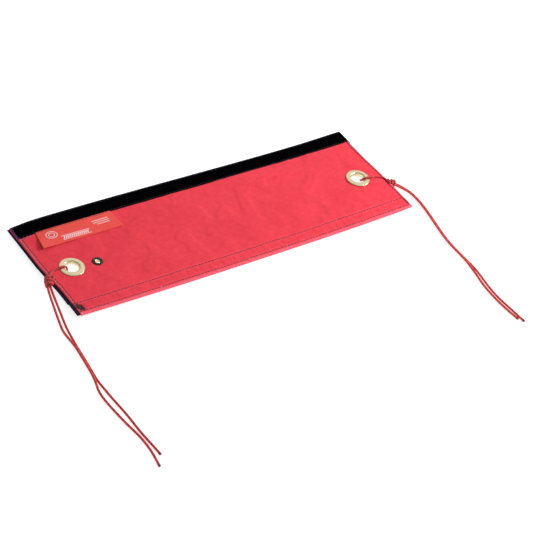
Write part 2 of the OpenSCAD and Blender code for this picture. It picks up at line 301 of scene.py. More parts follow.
def tubes(paths, radii, sides, up):
    """Closed tubes along many paths of equal length. paths is (tubes, points, 3), radii is
    (points,) or (points, sides), and up is never parallel to a path.
    Returns the points, the faces and the uv of each face corner."""
    paths = np.asarray(paths, float)
    many, count = paths.shape[:2]
    ahead = unit(np.gradient(paths, axis=1))
    out = unit(np.cross(ahead, np.broadcast_to(up, paths.shape)))
    over = np.cross(out, ahead)
    angle = (2 * np.pi * np.arange(sides) / sides)[:, None]
    radii = np.broadcast_to(np.asarray(radii, float).reshape(count, -1), (count, sides))
    ring = np.cos(angle) * out[:, :, None, :] + np.sin(angle) * over[:, :, None, :]
    points = (paths[:, :, None, :] + radii[None, :, :, None] * ring).reshape(-1, 3)
    first = np.arange(many) * count * sides
    walls = first[:, None, None, None] + ring_walls(count, sides)[..., [1, 0, 3, 2]]
    steps = np.linalg.norm(np.diff(paths, axis=1), axis=2)
    length = np.concatenate([np.zeros((many, 1)), np.cumsum(steps, axis=1)], 1)
    low = np.broadcast_to(length[:, :-1, None], (many, count - 1, sides))
    high = np.broadcast_to(length[:, 1:, None], low.shape)
    left = np.broadcast_to(np.arange(sides) / sides, low.shape)
    right = np.broadcast_to((np.arange(sides) + 1) / sides, low.shape)
    uv = np.stack([right, low, left, low, left, high, right, high], -1).reshape(-1, 2)
    faces = walls.reshape(-1, 4).tolist()
    start_cap = np.arange(sides)
    end_cap = (count - 1) * sides + start_cap[::-1]
    for base in first:
        faces.append((base + start_cap).tolist())
        faces.append((base + end_cap).tolist())
    uv = np.concatenate([uv, np.zeros((2 * many * sides, 2))])
    return points, faces, uv


def lathe(profile, centre, sides):
    """A solid of revolution. profile is a closed outline of (radius, height)."""
    profile = np.array(profile, float)
    angle = 2 * np.pi * np.arange(sides) / sides
    ring = np.stack([np.cos(angle), np.sin(angle)], -1)
    flat = profile[:, None, 0, None] * ring[None] + np.array(centre[:2])
    height = np.broadcast_to(profile[:, None, 1:], flat.shape[:2] + (1,))
    points = np.concatenate([flat, height], -1).reshape(-1, 3)
    return points, ring_walls(len(profile), sides, closed=True).reshape(-1, 4).tolist()


def arc(centre, radius, start, end, steps):
    """Points (radius, height) on an arc, with angles in degrees from the outward direction."""
    angles = np.radians(np.linspace(start, end, steps))
    return [(centre[0] + radius * math.cos(a), centre[1] + radius * math.sin(a)) for a in angles]


# ---- Materials ----

class Shader:
    """A material's node tree, with short calls that add nodes and join them."""

    def __init__(self, name):
        self.material = bpy.data.materials.new(name)
        self.material.use_nodes = True
        self.tree = self.material.node_tree
        self.surface = self.tree.nodes["Principled BSDF"]

    def add(self, kind, inputs, **settings):
        node = self.tree.nodes.new("ShaderNode" + kind)
        for key, value in settings.items():
            setattr(node, key, value)
        for key, value in inputs.items():
            self.join(node.inputs[key], value)
        return node

    def join(self, socket, value):
        if isinstance(value, bpy.types.NodeSocket):
            self.tree.links.new(value, socket)
        else:
            socket.default_value = value

    def finish_with(self, **inputs):
        for key, value in inputs.items():
            self.join(self.surface.inputs[key.replace("_", " ")], value)
        return self.material

    def calc(self, operation, a, b=0.0):
        return self.add("Math", {0: a, 1: b}, operation=operation).outputs[0]

    def plus(self, a, b):
        return self.calc("ADD", a, b)

    def times(self, a, b):
        return self.calc("MULTIPLY", a, b)

    def uv(self):
        """The (u, v) of the fabric, in millimetres at rest."""
        vector = self.add("UVMap", {}, uv_map="fabric").outputs[0]
        split = self.add("SeparateXYZ", {0: vector})
        return vector, split.outputs[0], split.outputs[1]

    def place(self):
        """The point's place on its object, in millimetres."""
        vector = self.add("TexCoord", {}).outputs["Object"]
        return self.add("VectorMath", {0: vector, "Scale": 1 / MM}, operation="SCALE").outputs[0]

    def noise(self, vector, size, detail=2.0, distortion=0.0):
        inputs = {"Vector": vector, "Scale": 1 / size, "Detail": detail, "Distortion": distortion}
        return self.add("TexNoise", inputs).outputs["Fac"]

    def ramp(self, factor, low, high, from_value=0.0, to_value=1.0):
        inputs = {0: factor, 1: low, 2: high, 3: from_value, 4: to_value}
        return self.add("MapRange", inputs).outputs[0]

    def mix(self, factor, a, b):
        node = self.add("Mix", {0: factor}, data_type="RGBA")
        self.join(node.inputs[6], a)
        self.join(node.inputs[7], b)
        return node.outputs[2]

    def tint(self, factor, low, high, a, b, most=1.0):
        """From colour a where the factor is low to colour b where it is high, or part of the way."""
        return self.mix(self.ramp(factor, low, high, 0.0, most), a, b)

    def bump(self, height, distance, normal=None):
        inputs = {"Height": height, "Distance": distance * MM, "Strength": 1.0}
        if normal is not None:
            inputs["Normal"] = normal
        return self.add("Bump", inputs).outputs[0]

    def sine(self, coordinate, pitch):
        return self.calc("SINE", self.times(coordinate, math.pi / pitch))

    def thread_wave(self, coordinate, pitch):
        """Rounded threads side by side, each `pitch` wide, from 0 between them to 1 on them."""
        return self.calc("ABSOLUTE", self.sine(coordinate, pitch))

    def weave(self, u, v, pitch, v_pitch):
        """Height of a plain weave, from 0 to 1."""
        warp = self.thread_wave(u, pitch)
        weft = self.thread_wave(v, v_pitch)
        crossing = self.times(self.times(self.sine(u, pitch), self.sine(v, v_pitch)), 0.35)
        return self.plus(self.times(self.plus(warp, weft), 0.35), crossing)


def grey(value):
    return (value, value, value, 1.0)


def canvas_material():
    """Heavy plain-weave canvas, paler where it is folded: partly rubbed wear and partly a painted
    highlight on the folded edges.
    """
    s = Shader("canvas")
    vector, u, v = s.uv()
    threads = s.weave(u, v, 0.55, 0.55)
    grain = s.noise(vector, 1.1, 4)
    mottle = s.noise(vector, 6, 4)
    cloud = s.noise(vector, 55, 2)
    colour = s.tint(grain, 0.3, 0.7, (0.70, 0.026, 0.046, 1), (0.84, 0.046, 0.074, 1))
    colour = s.tint(mottle, 0.42, 0.75, colour, (0.88, 0.060, 0.092, 1), 0.5)
    colour = s.tint(cloud, 0.4, 0.7, colour, (0.66, 0.022, 0.042, 1), 0.35)
    # Paler pink on the folded edges: partly rubbed wear, partly a painted highlight where the rolled
    # hems and the near fold catch the light.
    worn = s.add("Attribute", {}, attribute_name="wear").outputs["Fac"]
    worn = s.times(worn, s.ramp(s.noise(vector, 1.6, 4), 0.3, 0.65, 0.35, 1.0))
    colour = s.mix(worn, colour, (0.96, 0.20, 0.27, 1))
    height = s.plus(threads, s.times(grain, 0.5))
    fine = s.bump(height, 0.14)
    soft = s.bump(s.noise(vector, 14, 2), 0.35, fine)
    return s.finish_with(Base_Color=colour, Roughness=s.ramp(grain, 0.2, 0.8, 0.74, 0.92), Normal=soft,
                         Sheen_Weight=0.12, Sheen_Roughness=0.45, Sheen_Tint=(1.0, 0.55, 0.6, 1),
                         Specular_IOR_Level=0.25)


def lining_material():
    """Tight navy lining with a slight sheen."""
    s = Shader("lining")
    vector, u, v = s.uv()
    threads = s.weave(u, v, 0.4, 0.4)
    grain = s.noise(vector, 1.1, 3)
    colour = s.tint(grain, 0.3, 0.7, (0.003, 0.002, 0.016, 1), (0.007, 0.005, 0.036, 1))
    colour = s.tint(s.noise(vector, 30, 3), 0.5, 0.75, colour, (0.016, 0.014, 0.06, 1), 0.4)
    height = s.plus(threads, s.times(grain, 0.4))
    return s.finish_with(Base_Color=colour, Roughness=s.ramp(grain, 0.2, 0.8, 0.55, 0.75),
                         Normal=s.bump(height, 0.09), Sheen_Weight=0.02, Specular_IOR_Level=0.12)


def felt_material():
    """Cream needled felt."""
    s = Shader("felt")
    place = s.place()
    fibres = s.noise(place, 0.7, 4, 1.5)
    colour = s.mix(fibres, (0.62, 0.48, 0.30, 1), (0.90, 0.80, 0.62, 1))
    return s.finish_with(Base_Color=colour, Roughness=0.95, Normal=s.bump(fibres, 0.4))


def tape_material():
    """Black woven tape: fine ribs across its width."""
    s = Shader("tape")
    vector, u, v = s.uv()
    ribs = s.weave(u, v, 0.5, 0.8)
    dust = s.noise(vector, 1.3, 4)
    colour = s.tint(dust, 0.55, 0.8, (0.0010, 0.0007, 0.0014, 1), (0.0045, 0.0035, 0.006, 1))
    return s.finish_with(Base_Color=colour, Roughness=s.ramp(dust, 0.2, 0.8, 0.7, 0.9),
                         Normal=s.bump(ribs, 0.16), Specular_IOR_Level=0.0)


def pile_material():
    """Black nylon of the hooks and loops."""
    s = Shader("pile")
    place = s.place()
    dust = s.noise(place, 2.5, 3)
    colour = s.tint(dust, 0.5, 0.8, (0.0010, 0.0007, 0.0014, 1), (0.0045, 0.0035, 0.006, 1))
    return s.finish_with(Base_Color=colour, Roughness=s.ramp(dust, 0.2, 0.8, 0.5, 0.75),
                         Specular_IOR_Level=0.02)


def label_material():
    """Satin ribbon, woven in orange-red: long floats that catch the light in lines."""
    s = Shader("label_satin")
    vector, u, v = s.uv()
    floats = s.weave(u, v, 0.32, 0.9)
    grain = s.noise(vector, 0.9, 3)
    colour = s.tint(grain, 0.3, 0.7, (0.72, 0.050, 0.036, 1), (0.84, 0.070, 0.052, 1))
    colour = s.tint(s.noise(vector, 12, 2), 0.45, 0.7, colour, (0.88, 0.095, 0.075, 1), 0.3)
    return s.finish_with(Base_Color=colour, Roughness=s.ramp(grain, 0.2, 0.8, 0.42, 0.6),
                         Normal=s.bump(floats, 0.06), Sheen_Weight=0.1, Anisotropic=0.4,
                         Specular_IOR_Level=0.25)


def embroidery_material():
    """White weft of the label's motif."""
    s = Shader("label_motif")
    place = s.place()
    grain = s.noise(place, 0.5, 3)
    colour = s.tint(grain, 0.3, 0.75, (0.80, 0.66, 0.66, 1), (0.95, 0.90, 0.90, 1))
    return s.finish_with(Base_Color=colour, Roughness=0.55, Normal=s.bump(grain, 0.08))


THREAD_TWIST = 0.8


def thread_material(name, dark, light):
    """Twisted sewing thread, with painted shade in the grooves between its plies."""
    s = Shader(name)
    _, u, v = s.uv()
    turns = s.plus(s.times(u, 2.0), s.times(v, 1 / THREAD_TWIST))
    ply_height_and_shade = s.calc("ABSOLUTE", s.calc("SINE", s.times(turns, math.pi)))
    # Painted shade: the grooves between the plies take the dark colour and their crowns the light one.
    colour = s.mix(ply_height_and_shade, dark, light)
    return s.finish_with(Base_Color=colour, Roughness=0.5, Normal=s.bump(ply_height_and_shade, 0.06), Sheen_Weight=0.1)


def brass_material():
    """Pale polished brass with fine scratches, rubbed marks and dull patches."""
    s = Shader("brass")
    place = s.place()
    dull = s.noise(place, 3.2, 5)
    fine = s.noise(place, 0.6, 4, 2.0)
    stretched = s.add("VectorMath", {0: place, 1: (6.0, 0.5, 3.0)}, operation="MULTIPLY").outputs[0]
    scratches = s.noise(stretched, 0.9, 6, 0.6)
    colour = s.tint(dull, 0.35, 0.75, (0.80, 0.69, 0.44, 1), (0.72, 0.60, 0.36, 1))
    colour = s.tint(scratches, 0.62, 0.72, colour, (0.90, 0.82, 0.60, 1), 0.2)
    rough = s.plus(s.ramp(dull, 0.3, 0.8, 0.22, 0.32), s.ramp(scratches, 0.6, 0.7, 0.0, 0.08))
    height = s.plus(s.times(scratches, 0.6), s.times(fine, 0.4))
    return s.finish_with(Base_Color=colour, Metallic=1.0, Roughness=rough, Normal=s.bump(height, 0.002))


def black_metal_material():
    """Black enamelled eyelet, worn to bare metal in small spots on its rim."""
    s = Shader("black_metal")
    place = s.place()
    wear = s.ramp(s.noise(place, 0.9, 5, 1.0), 0.66, 0.72)
    colour = s.mix(wear, (0.006, 0.006, 0.007, 1), (0.30, 0.24, 0.15, 1))
    fine = s.noise(place, 0.4, 3)
    return s.finish_with(Base_Color=colour, Metallic=s.times(wear, 0.9),
                         Roughness=s.ramp(fine, 0.2, 0.8, 0.18, 0.34), Normal=s.bump(fine, 0.004),
                         Specular_IOR_Level=0.35)


BRAID_LOBES = 4
BRAID_PITCH = 2.0


def cord_material():
    """Braided cord: red yarns with near-black tracer flecks, and painted shade in the grooves between
    the yarns. u runs round it and v along it.
    """
    s = Shader("cord")
    _, u, v = s.uv()
    right = s.plus(s.times(u, BRAID_LOBES), s.times(v, 1 / BRAID_PITCH))
    left = s.calc("SUBTRACT", s.times(u, BRAID_LOBES), s.times(v, 1 / BRAID_PITCH))
    place = s.place()
    fibre = s.noise(place, 0.22, 3)
    colour = s.tint(fibre, 0.3, 0.7, (0.55, 0.020, 0.018, 1), (0.76, 0.050, 0.042, 1))
    fleck_right = s.calc("LESS_THAN", s.calc("FRACT", s.times(right, 1 / BRAID_LOBES)), 0.17)
    crown = s.calc("GREATER_THAN", s.calc("SINE", s.times(left, 2 * math.pi)), -0.6)
    fleck = s.times(fleck_right, crown)
    colour = s.mix(fleck, colour, (0.006, 0.003, 0.008, 1))
    over = s.calc("COSINE", s.times(right, math.pi))
    under = s.calc("COSINE", s.times(left, math.pi))
    # Painted shade: the grooves between the crossing yarns are darkened in the colour.
    painted_valley_shade = s.ramp(s.calc("ABSOLUTE", s.times(over, under)), 0.0, 0.45, 0.45, 0.0)
    colour = s.mix(painted_valley_shade, colour, (0.12, 0.005, 0.006, 1))
    height = s.plus(s.calc("ABSOLUTE", s.times(over, under)), s.times(fibre, 0.5))
    return s.finish_with(Base_Color=colour, Roughness=0.72, Normal=s.bump(height, 0.12),
                         Sheen_Weight=0.2, Sheen_Roughness=0.5)


def melted_material():
    """Heat-sealed cord end: darkened and a little glossy."""
    s = Shader("cord_tip")
    place = s.place()
    blotch = s.noise(place, 0.7, 4)
    colour = s.tint(blotch, 0.3, 0.7, (0.20, 0.008, 0.007, 1), (0.50, 0.030, 0.022, 1))
    return s.finish_with(Base_Color=colour, Roughness=s.ramp(blotch, 0.2, 0.8, 0.3, 0.6),
                         Normal=s.bump(blotch, 0.12))


def floor_material():
    s = Shader("floor")
    place = s.place()
    tone = s.mix(s.noise(place, 300, 2), grey(0.55), grey(0.57))
    return s.finish_with(Base_Color=tone, Roughness=0.85, Specular_IOR_Level=0.1,
                         Emission_Color=grey(1.0), Emission_Strength=0.76)


CANVAS = canvas_material()
LINING = lining_material()
FELT = felt_material()
TAPE = tape_material()
PILE = pile_material()
LABEL = label_material()
EMBROIDERY = embroidery_material()
# Each thread's first colour is painted shade for the grooves between its plies, the second is its
# crowns.
DARK_THREAD = thread_material("dark_thread", (0.002, 0.0005, 0.002, 1), (0.012, 0.002, 0.007, 1))
BLACK_THREAD = thread_material("black_thread", (0.002, 0.002, 0.004, 1), (0.012, 0.010, 0.016, 1))
WHITE_THREAD = thread_material("white_thread", (0.45, 0.42, 0.5, 1), (0.85, 0.82, 0.9, 1))
BLUE_THREAD = thread_material("blue_thread", (0.02, 0.02, 0.16, 1), (0.20, 0.20, 0.55, 1))
BRASS = brass_material()
BLACK_METAL = black_metal_material()
CORD = cord_material()
MELTED = melted_material()


# ---- The panel's shape ----

# The near edge sags in its middle and lifts at its ends. The far edge slopes from one end to the
# other, droops at its left corner and rises at its right one
NEAR_SAG = 2.0
NEAR_END_LIFT = {-1: 1.0, 1: 2.4}
FAR_TILT = 2.6
FAR_LEFT_DROOP = 2.8
FAR_RIGHT_RISE = 1.6


def lift(x, y):
    """How far the panel stands above its flat shape, or below it where it sags to the floor."""
    x = np.asarray(x)
    across = np.clip((np.asarray(y) - NEAR_Y) / (FAR_Y - NEAR_Y), 0, 1)
    end_lift = np.where(x < 0, NEAR_END_LIFT[-1], NEAR_END_LIFT[1])
    near = -NEAR_SAG + (NEAR_SAG + end_lift) * (np.abs(x) / END_X) ** 2.5
    far = -FAR_TILT * np.sin(x * np.pi / 360) - FAR_LEFT_DROOP * bell((x + END_X + 3) / 20)
    far = far + FAR_RIGHT_RISE * bell((x - END_X) / 45)
    return near * (1 - across) ** 1.5 + far * across ** 3


SHEET_STEP = 2.5


def sheet_cells():
    """The grid of the simulated sheet."""
    return np.arange(-END_X, END_X + 0.1, SHEET_STEP), np.arange(NEAR_Y, TAPE_Y + 1.0, SHEET_STEP)


def held(x, y):
    """True where the sheet is sewn down, riveted or lies under the tape."""
    fixed = (np.abs(x) > END_X - 6) | (y > TAPE_Y - 2) | (y < NEAR_Y + 2.6)
    for row in NEAR_ROWS:
        fixed |= np.abs(y - row) < 1.4
    for centre in EYELETS.values():
        fixed |= away_from(centre, x, y) < FLANGE_R + 1.5
    return fixed | (away_from(SMALL_EYELET, x, y) < SMALL_FLANGE_R + 1)


# The sheet grows by SHEET_GROWTH while it is simulated, at SHEET_SCALE times its real size
SHEET_GROWTH = 0.016
SHEET_FRAMES = 24
SHEET_SCALE = 10.0
SHEET_CLOTH = {
    "quality": 6, "mass": 0.3, "tension_stiffness": 40, "compression_stiffness": 40,
    "shear_stiffness": 15, "bending_stiffness": 1.5, "air_damping": 4,
    "vertex_group_mass": "pin", "shrink_min": -SHEET_GROWTH,
}
MOST_RELIEF = 0.34


def simulated_relief():
    """Height over the sheet's grid after it has grown a little between its seams."""
    x, y = np.meshgrid(*sheet_cells())
    random = np.random.default_rng(SEED)
    start = 0.15 * random.standard_normal(x.shape)
    start += 0.25 * np.sin(x / 23 + y / 31) * np.sin(x / 57 - y / 19)
    start[held(x, y)] = 0
    points = np.stack([x, y, start], -1).reshape(-1, 3) * MM * SHEET_SCALE
    mesh = bpy.data.meshes.new("sheet")
    mesh.from_pydata(points.tolist(), [], grid_faces(x.shape))
    sheet = add_object("sheet", mesh)
    pin = sheet.vertex_groups.new(name="pin")
    pin.add(np.flatnonzero(held(x, y).ravel()).tolist(), 1.0, "REPLACE")
    cloth = sheet.modifiers.new("cloth", "CLOTH").settings
    for key, value in SHEET_CLOTH.items():
        setattr(cloth, key, value)
    cloth.effector_weights.gravity = 0
    scene = bpy.context.scene
    for number in range(1, SHEET_FRAMES + 1):
        scene.frame_set(number)
    result = sheet.evaluated_get(bpy.context.evaluated_depsgraph_get()).to_mesh()
    places = np.zeros(x.size * 3, np.float32)
    result.vertices.foreach_get("co", places)
    bpy.data.objects.remove(sheet)
    scene.frame_set(1)
    return places.reshape(x.shape + (3,))[:, :, 2] / (MM * SHEET_SCALE)


def soften(height):
    """Averages each point with its neighbours."""
    rows, columns = height.shape
    padded = np.pad(height, 1, mode="edge")
    return sum(padded[i:i + rows, j:j + columns] for i in range(3) for j in range(3)) / 9


SOFTEN_PASSES = 3


def made_relief():
    height = simulated_relief()
    for _ in range(SOFTEN_PASSES):
        height = soften(height)
    return MOST_RELIEF * np.tanh(height / MOST_RELIEF)


RELIEF = made_relief()


def relief(x, y):
    """The sheet's height at any place, between its grid points."""
    xs, ys = sheet_cells()
    i = np.clip((y - ys[0]) / SHEET_STEP, 0, len(ys) - 1.001)
    j = np.clip((x - xs[0]) / SHEET_STEP, 0, len(xs) - 1.001)
    i0, j0 = i.astype(int), j.astype(int)
    di, dj = smooth_step(i - i0), smooth_step(j - j0)
    low = RELIEF[i0, j0] * (1 - dj) + RELIEF[i0, j0 + 1] * dj
    high = RELIEF[i0 + 1, j0] * (1 - dj) + RELIEF[i0 + 1, j0 + 1] * dj
    return low * (1 - di) + high * di


# How far the left ends of the canvas and the lining stand from the CAD's end: the canvas is hemmed
# short near its corner, and the lining shows beyond it. That navy strip is made as wide as the whole
# dark band under the left end, which is partly the lining's edge and partly shade under the lifted end,
# so the strip also stands in for that shade.
CANVAS_NEAR_PULL = 3.9
CANVAS_FAR_REACH = 0.2
LINING_FAR_REACH = 2.6
LINING_NEAR_PULL = 2.6


def near_corner(y):
    """0 on the panel's far half, growing to 1 towards its near corner."""
    return smooth_step((12 - y) / 55)


def canvas_left_x(y):
    return -END_X + CANVAS_NEAR_PULL * near_corner(y) - CANVAS_FAR_REACH * smooth_step((y - 22) / 30)


def canvas_right_x(y):
    return END_X - 0.9 * smooth_step((y + 10) / 30) + 0.3 * bell((y + 15) / 20)


def lining_left_x(y):
    return -END_X - LINING_FAR_REACH + LINING_NEAR_PULL * near_corner(y)


def lining_right_x(y):
    return END_X - 0.4 + 0 * y


def canvas_end_x(side, y):
    return canvas_left_x(y) if side < 0 else canvas_right_x(y)


# Steps of the fabric grid: distances of its crowded columns from an end, how many columns lie
# between them, and the longest step between rows, on the panel and where the tape begins
CROWDED = np.array([0, 0.15, 0.45, 0.9, 1.4, 2.0, 2.5, 2.85, 3.2, 3.55, 3.9, 4.4, 5.2, 6.2])
CORE_COLUMNS = 290
ROW_STEP = 1.05
TAPE_ROW_STEP = 0.4


def fabric_grid(left_x, right_x):
    """A grid over the panel whose columns crowd together at the hems and whose rows hold the cuts.
    left_x and right_x are functions of y. Returns x, y and the distance from the nearer end."""
    tape_start = TAPE_Y - 1.2
    keys = [NEAR_Y + step for step in (0, 0.2, 0.6, 1.2, 2.0, 3.0)]
    keys += CUT_Y[5:0:-1] + [tape_start, TAPE_Y + 1.2, FAR_Y]
    rows = []
    for low, high in zip(keys[:-1], keys[1:]):
        count = math.ceil((high - low) / (TAPE_ROW_STEP if low == tape_start else ROW_STEP))
        rows.append(np.linspace(low, high, count, endpoint=False))
    y = np.concatenate(rows + [[FAR_Y]])[:, None]
    left = left_x(y) + CROWDED[None, :]
    right = right_x(y) - CROWDED[None, ::-1]
    core = np.linspace(-END_X + 11.5, END_X - 8.5, CORE_COLUMNS)
    x = np.concatenate([left, np.broadcast_to(core, (len(y), len(core))), right], 1)
    s = np.minimum(x - left_x(y), right_x(y) - x)
    return x, np.broadcast_to(y, x.shape).copy(), s


def rounded(distance, radius):
    """How far a surface has dropped at `distance` from an edge that is rounded to `radius`."""
    d = np.clip(radius - distance, 0, radius)
    return radius - np.sqrt(np.maximum(radius ** 2 - d ** 2, 0))


def eyelet_press(x, y):
    """The canvas is squeezed under the eyelets and puckers a little round them."""
    total = np.zeros_like(x)
    for centre in EYELETS.values():
        beyond = away_from(centre, x, y) - FLANGE_R
        angle = np.arctan2(y - centre[1], x - centre[0])
        total -= 0.3 * bell((beyond + 1) / 2.6)
        total += 0.12 * np.sin(7 * angle + 1.0) * bell((beyond - 3.0) / 3.0)
    return total - 0.25 * bell((away_from(SMALL_EYELET, x, y) - SMALL_FLANGE_R + 0.5) / 1.8)


HEM_ROLL = 1.4
NEAR_ROLL = 1.8


def near_puckers(x, near):
    """Puckers between the two near rows, and smaller ones between the first row and the edge.
    near is the distance from the near edge."""
    first, second = NEAR_ROW_AT
    between = smooth_step((near - first) / 4) * smooth_step((second - near) / 4)
    wave = np.sin(2 * np.pi * x / 8.7 + 1.7 * np.sin(x / 29) + 0.11 * near)
    wave += 0.6 * np.sin(2 * np.pi * x / 5.3 + 2.1 * np.sin(x / 17) - 0.16 * near)
    edge = smooth_step(near / 1.5) * smooth_step((first - near) / 2.0)
    return between * (0.12 + 0.11 * wave) + edge * 0.10 * np.sin(2 * np.pi * x / 7.1 + np.sin(x / 23))


def canvas_surface(x, y, s):
    """Height of the canvas's upper face. s is the distance from its nearer end."""
    near = y - NEAR_Y
    z = TOP_Z + lift(x, y)
    z += 0.15 * (1 - smooth_step((s - HEM_ROW + 1.0) / 1.0))
    z -= 0.22 * bell((s - HEM_ROW) / 0.4)
    z -= rounded(s, HEM_ROLL)
    z -= rounded(near, NEAR_ROLL)
    z += near_puckers(x, near)
    stitch = 0.5 + 0.5 * np.cos(2 * np.pi * x / STITCH_PITCH)
    for row in NEAR_ROWS:
        z -= (0.18 + 0.14 * stitch) * bell((y - row) / 1.0)
    z += eyelet_press(x, y)
    z += relief(x, y)
    sewn = smooth_step((y - TAPE_Y + 0.6) / 0.9)
    return z * (1 - sewn) + (TAPE_LOW_Z - 0.05 + lift(x, y) - rounded(s, 0.6)) * sewn


def canvas_top(x, y):
    """The canvas's upper face at any place, for things that lie on it."""
    x, y = np.asarray(x, float), np.asarray(y, float)
    s = np.minimum(x - canvas_left_x(y), canvas_right_x(y) - x)
    return canvas_surface(x, y, s)


EYELET_HOLES = [(c[0], c[1], BARREL_R) for c in EYELETS.values()]
EYELET_HOLES.append((SMALL_EYELET[0], SMALL_EYELET[1], SMALL_BARREL_R))
NEAR_FOLD_Z = 1.8


def rows_of(y, piece, low_limit, high_limit):
    """The rows of a grid that belong to fabric piece number `piece`, between two limits of y."""
    low, high = max(CUT_Y[piece + 1], low_limit), min(CUT_Y[piece], high_limit)
    found = np.flatnonzero((y[:, 0] > low - 1e-6) & (y[:, 0] < high + 1e-6))
    return slice(found[0], found[-1] + 1)


def layer_pieces(layer, x, y, top, bottom, material, limits=(NEAR_Y, FAR_Y)):
    """One layer of fabric as six pieces. Each lies across a hinge, and stands for the CAD's staves on
    both sides of it."""
    for k, hinge in enumerate(HINGES):
        made = slab(f"{layer}_{hinge}", x, y, top, bottom, rows_of(y, k, *limits), EYELET_HOLES,
                    material)
        if layer == "canvas":
            add_wear_and_highlight(made)
        nodes = [f"{layer}_{stave}" for stave in STAVES[k:k + 2]]
        settle(made, on_hinge(), *[node for node in nodes if node in frame["nodes"]])


def canvas_pieces():
    """Canvas from hem to hem, folded under along the near edge."""
    x, y, s = fabric_grid(canvas_left_x, canvas_right_x)
    top = canvas_surface(x, y, s)
    near = y - NEAR_Y
    low = np.where(s < 1.2, 1.4, TOP_Z - 1.0)
    low = np.where(near < 2.9, NEAR_FOLD_Z + 0.25 * rounded(near, 1.0), low)
    sewn = smooth_step((y - TAPE_Y + 0.9) / 0.9)
    low = low * (1 - sewn) + (LINING_T + 0.02) * sewn
    layer_pieces("canvas", x, y, top, np.minimum(low + lift(x, y), top - 0.3), CANVAS)


def add_wear_and_highlight(piece):
    """Marks the folded edges of the canvas, and the canvas beside the near rows, as paler: partly
    rubbed wear and partly a painted highlight.
    """
    x, y, _ = np.array([v.co for v in piece.data.vertices]).reshape(-1, 3).T / MM
    s = np.minimum(x - canvas_left_x(y), canvas_right_x(y) - x)
    # This wear value is partly rubbed wear and partly a painted highlight on the rolled hems, the near
    # fold and beside the near rows.
    wear = 0.55 * bell((s - 1.6) / 1.5) + 0.6 * bell((y - NEAR_Y - 1.2) / 1.8)
    for row in NEAR_ROWS:
        wear += 0.12 * bell((np.abs(y - row) - 1.6) / 0.9)
    for centre in EYELETS.values():
        wear -= 0.2 * bell((away_from(centre, x, y) - FLANGE_R) / 2)
    layer = piece.data.attributes.new("wear", "FLOAT", "POINT")
    layer.data.foreach_set("value", np.clip(wear, 0, 1).astype(np.float32))


def spine_rise(x, y):
    """The lining steps up under the ends of the spine, clear of the washers and the cords."""
    inside = smooth_step((y - HINGE_Y[3] - 0.2) / 1.5) * smooth_step((HINGE_Y[2] - 0.2 - y) / 1.5)
    return 0.55 * smooth_step((np.abs(x) - 146) / 10) * inside


def lining_faces(x, y, s):
    """Heights of the lining's two faces."""
    flap = smooth_step(HINGE_Y[NEAR_HINGE] - 0.2 - y)
    hem = (1 - smooth_step((s - 4.6) / 0.8)) * (1 - flap) * (1 - smooth_step(y - TAPE_Y + 1))
    rise = spine_rise(x, y)
    ripple = 0.3 * relief(x, y) * (1 - flap)
    top = LINING_T + 0.6 * np.maximum(hem, 0) + rise * (1 - hem)
    top = top * (1 - flap) + (TOP_Z - 1.02) * flap + ripple
    bottom = rise * (1 - flap) + (LOOP_HIGH[2] + 0.01) * flap
    stitch = 0.5 + 0.5 * np.cos(2 * np.pi * y / STITCH_PITCH)
    bottom += (0.1 + 0.08 * stitch) * bell((s - HEM_ROW) / 0.6) * (1 - flap)
    bottom += ripple
    edge = rounded(s, 0.45)
    shift = lift(x, y)
    return top - edge + shift, bottom + edge + shift


def lining_pieces():
    x, y, s = fabric_grid(lining_left_x, lining_right_x)
    top, bottom = lining_faces(x, y, s)
    bottom = np.maximum(bottom, FLOOR_Z + 0.05)
    layer_pieces("lining", x, y, top, bottom, LINING, (NEAR_Y + 1.2, FAR_Y))


def padding_pieces():
    """Felt between the lining and the canvas, from the near flap's hinge to the tape."""
    x, y, s = fabric_grid(lambda v: -PADDING_X + 0 * v, lambda v: PADDING_X + 0 * v)
    shift = lift(x, y) + 0.5 * relief(x, y)
    bottom = LINING_T + 0.05 + spine_rise(x, y) + shift
    top = TOP_Z - 1.05 + shift - 0.3 * rounded(s, 0.8)
    limits = (HINGE_Y[NEAR_HINGE], HINGE_Y[FAR_HINGE] - 1.0)
    layer_pieces("padding", x, y, np.maximum(top, bottom + 0.4), bottom, FELT, limits)


# ---- Hook strip and loop strip ----

TAPE_LEFT_X = -END_X + 0.4
TAPE_TOP_Z = 2.95

# Hooks: the step between them, and one hook's midline as (sideways, up) with its radii
HOOK_STEP = (1.55, 1.2)
HOOK_LINE = np.array([[0, -0.1], [0.0, 0.45], [0.12, 0.78], [0.40, 0.85], [0.55, 0.58]])
HOOK_RADII = (0.17, 0.15, 0.14, 0.13, 0.10)

# Loops: the step between them, their half widths, their height and their radius
LOOP_STEP = (1.7, 1.35)
LOOP_HALF = (0.55, 0.95)
LOOP_H = 0.52
LOOP_YARN_R = 0.10
LOOP_BASE_Z = 0.55


def tape_low_y(x):
    """The hook strip's lower edge, a little wider towards its ends."""
    return TAPE_Y - 0.4 - np.where(x < 0, 1.2, 2.8) * np.abs(x / END_X) ** 4


def tape_height(x, y):
    """The upper face of the hook strip's woven base."""
    z = TAPE_TOP_Z + lift(x, y)
    for row in TAPE_ROWS:
        z = z - 0.25 * bell((y - row) / 0.8)
    z = z + 0.10 * np.sin(x / 12 + 1.5 * np.sin(x / 37)) * smooth_step((FAR_Y - y) / 8)
    return z


def pile(name, paths, radii, sides, up, node):
    points, faces, uv = tubes(paths, radii, sides, up)
    settle(new_piece(name, points, faces, PILE, uv), on_hinge(), node)


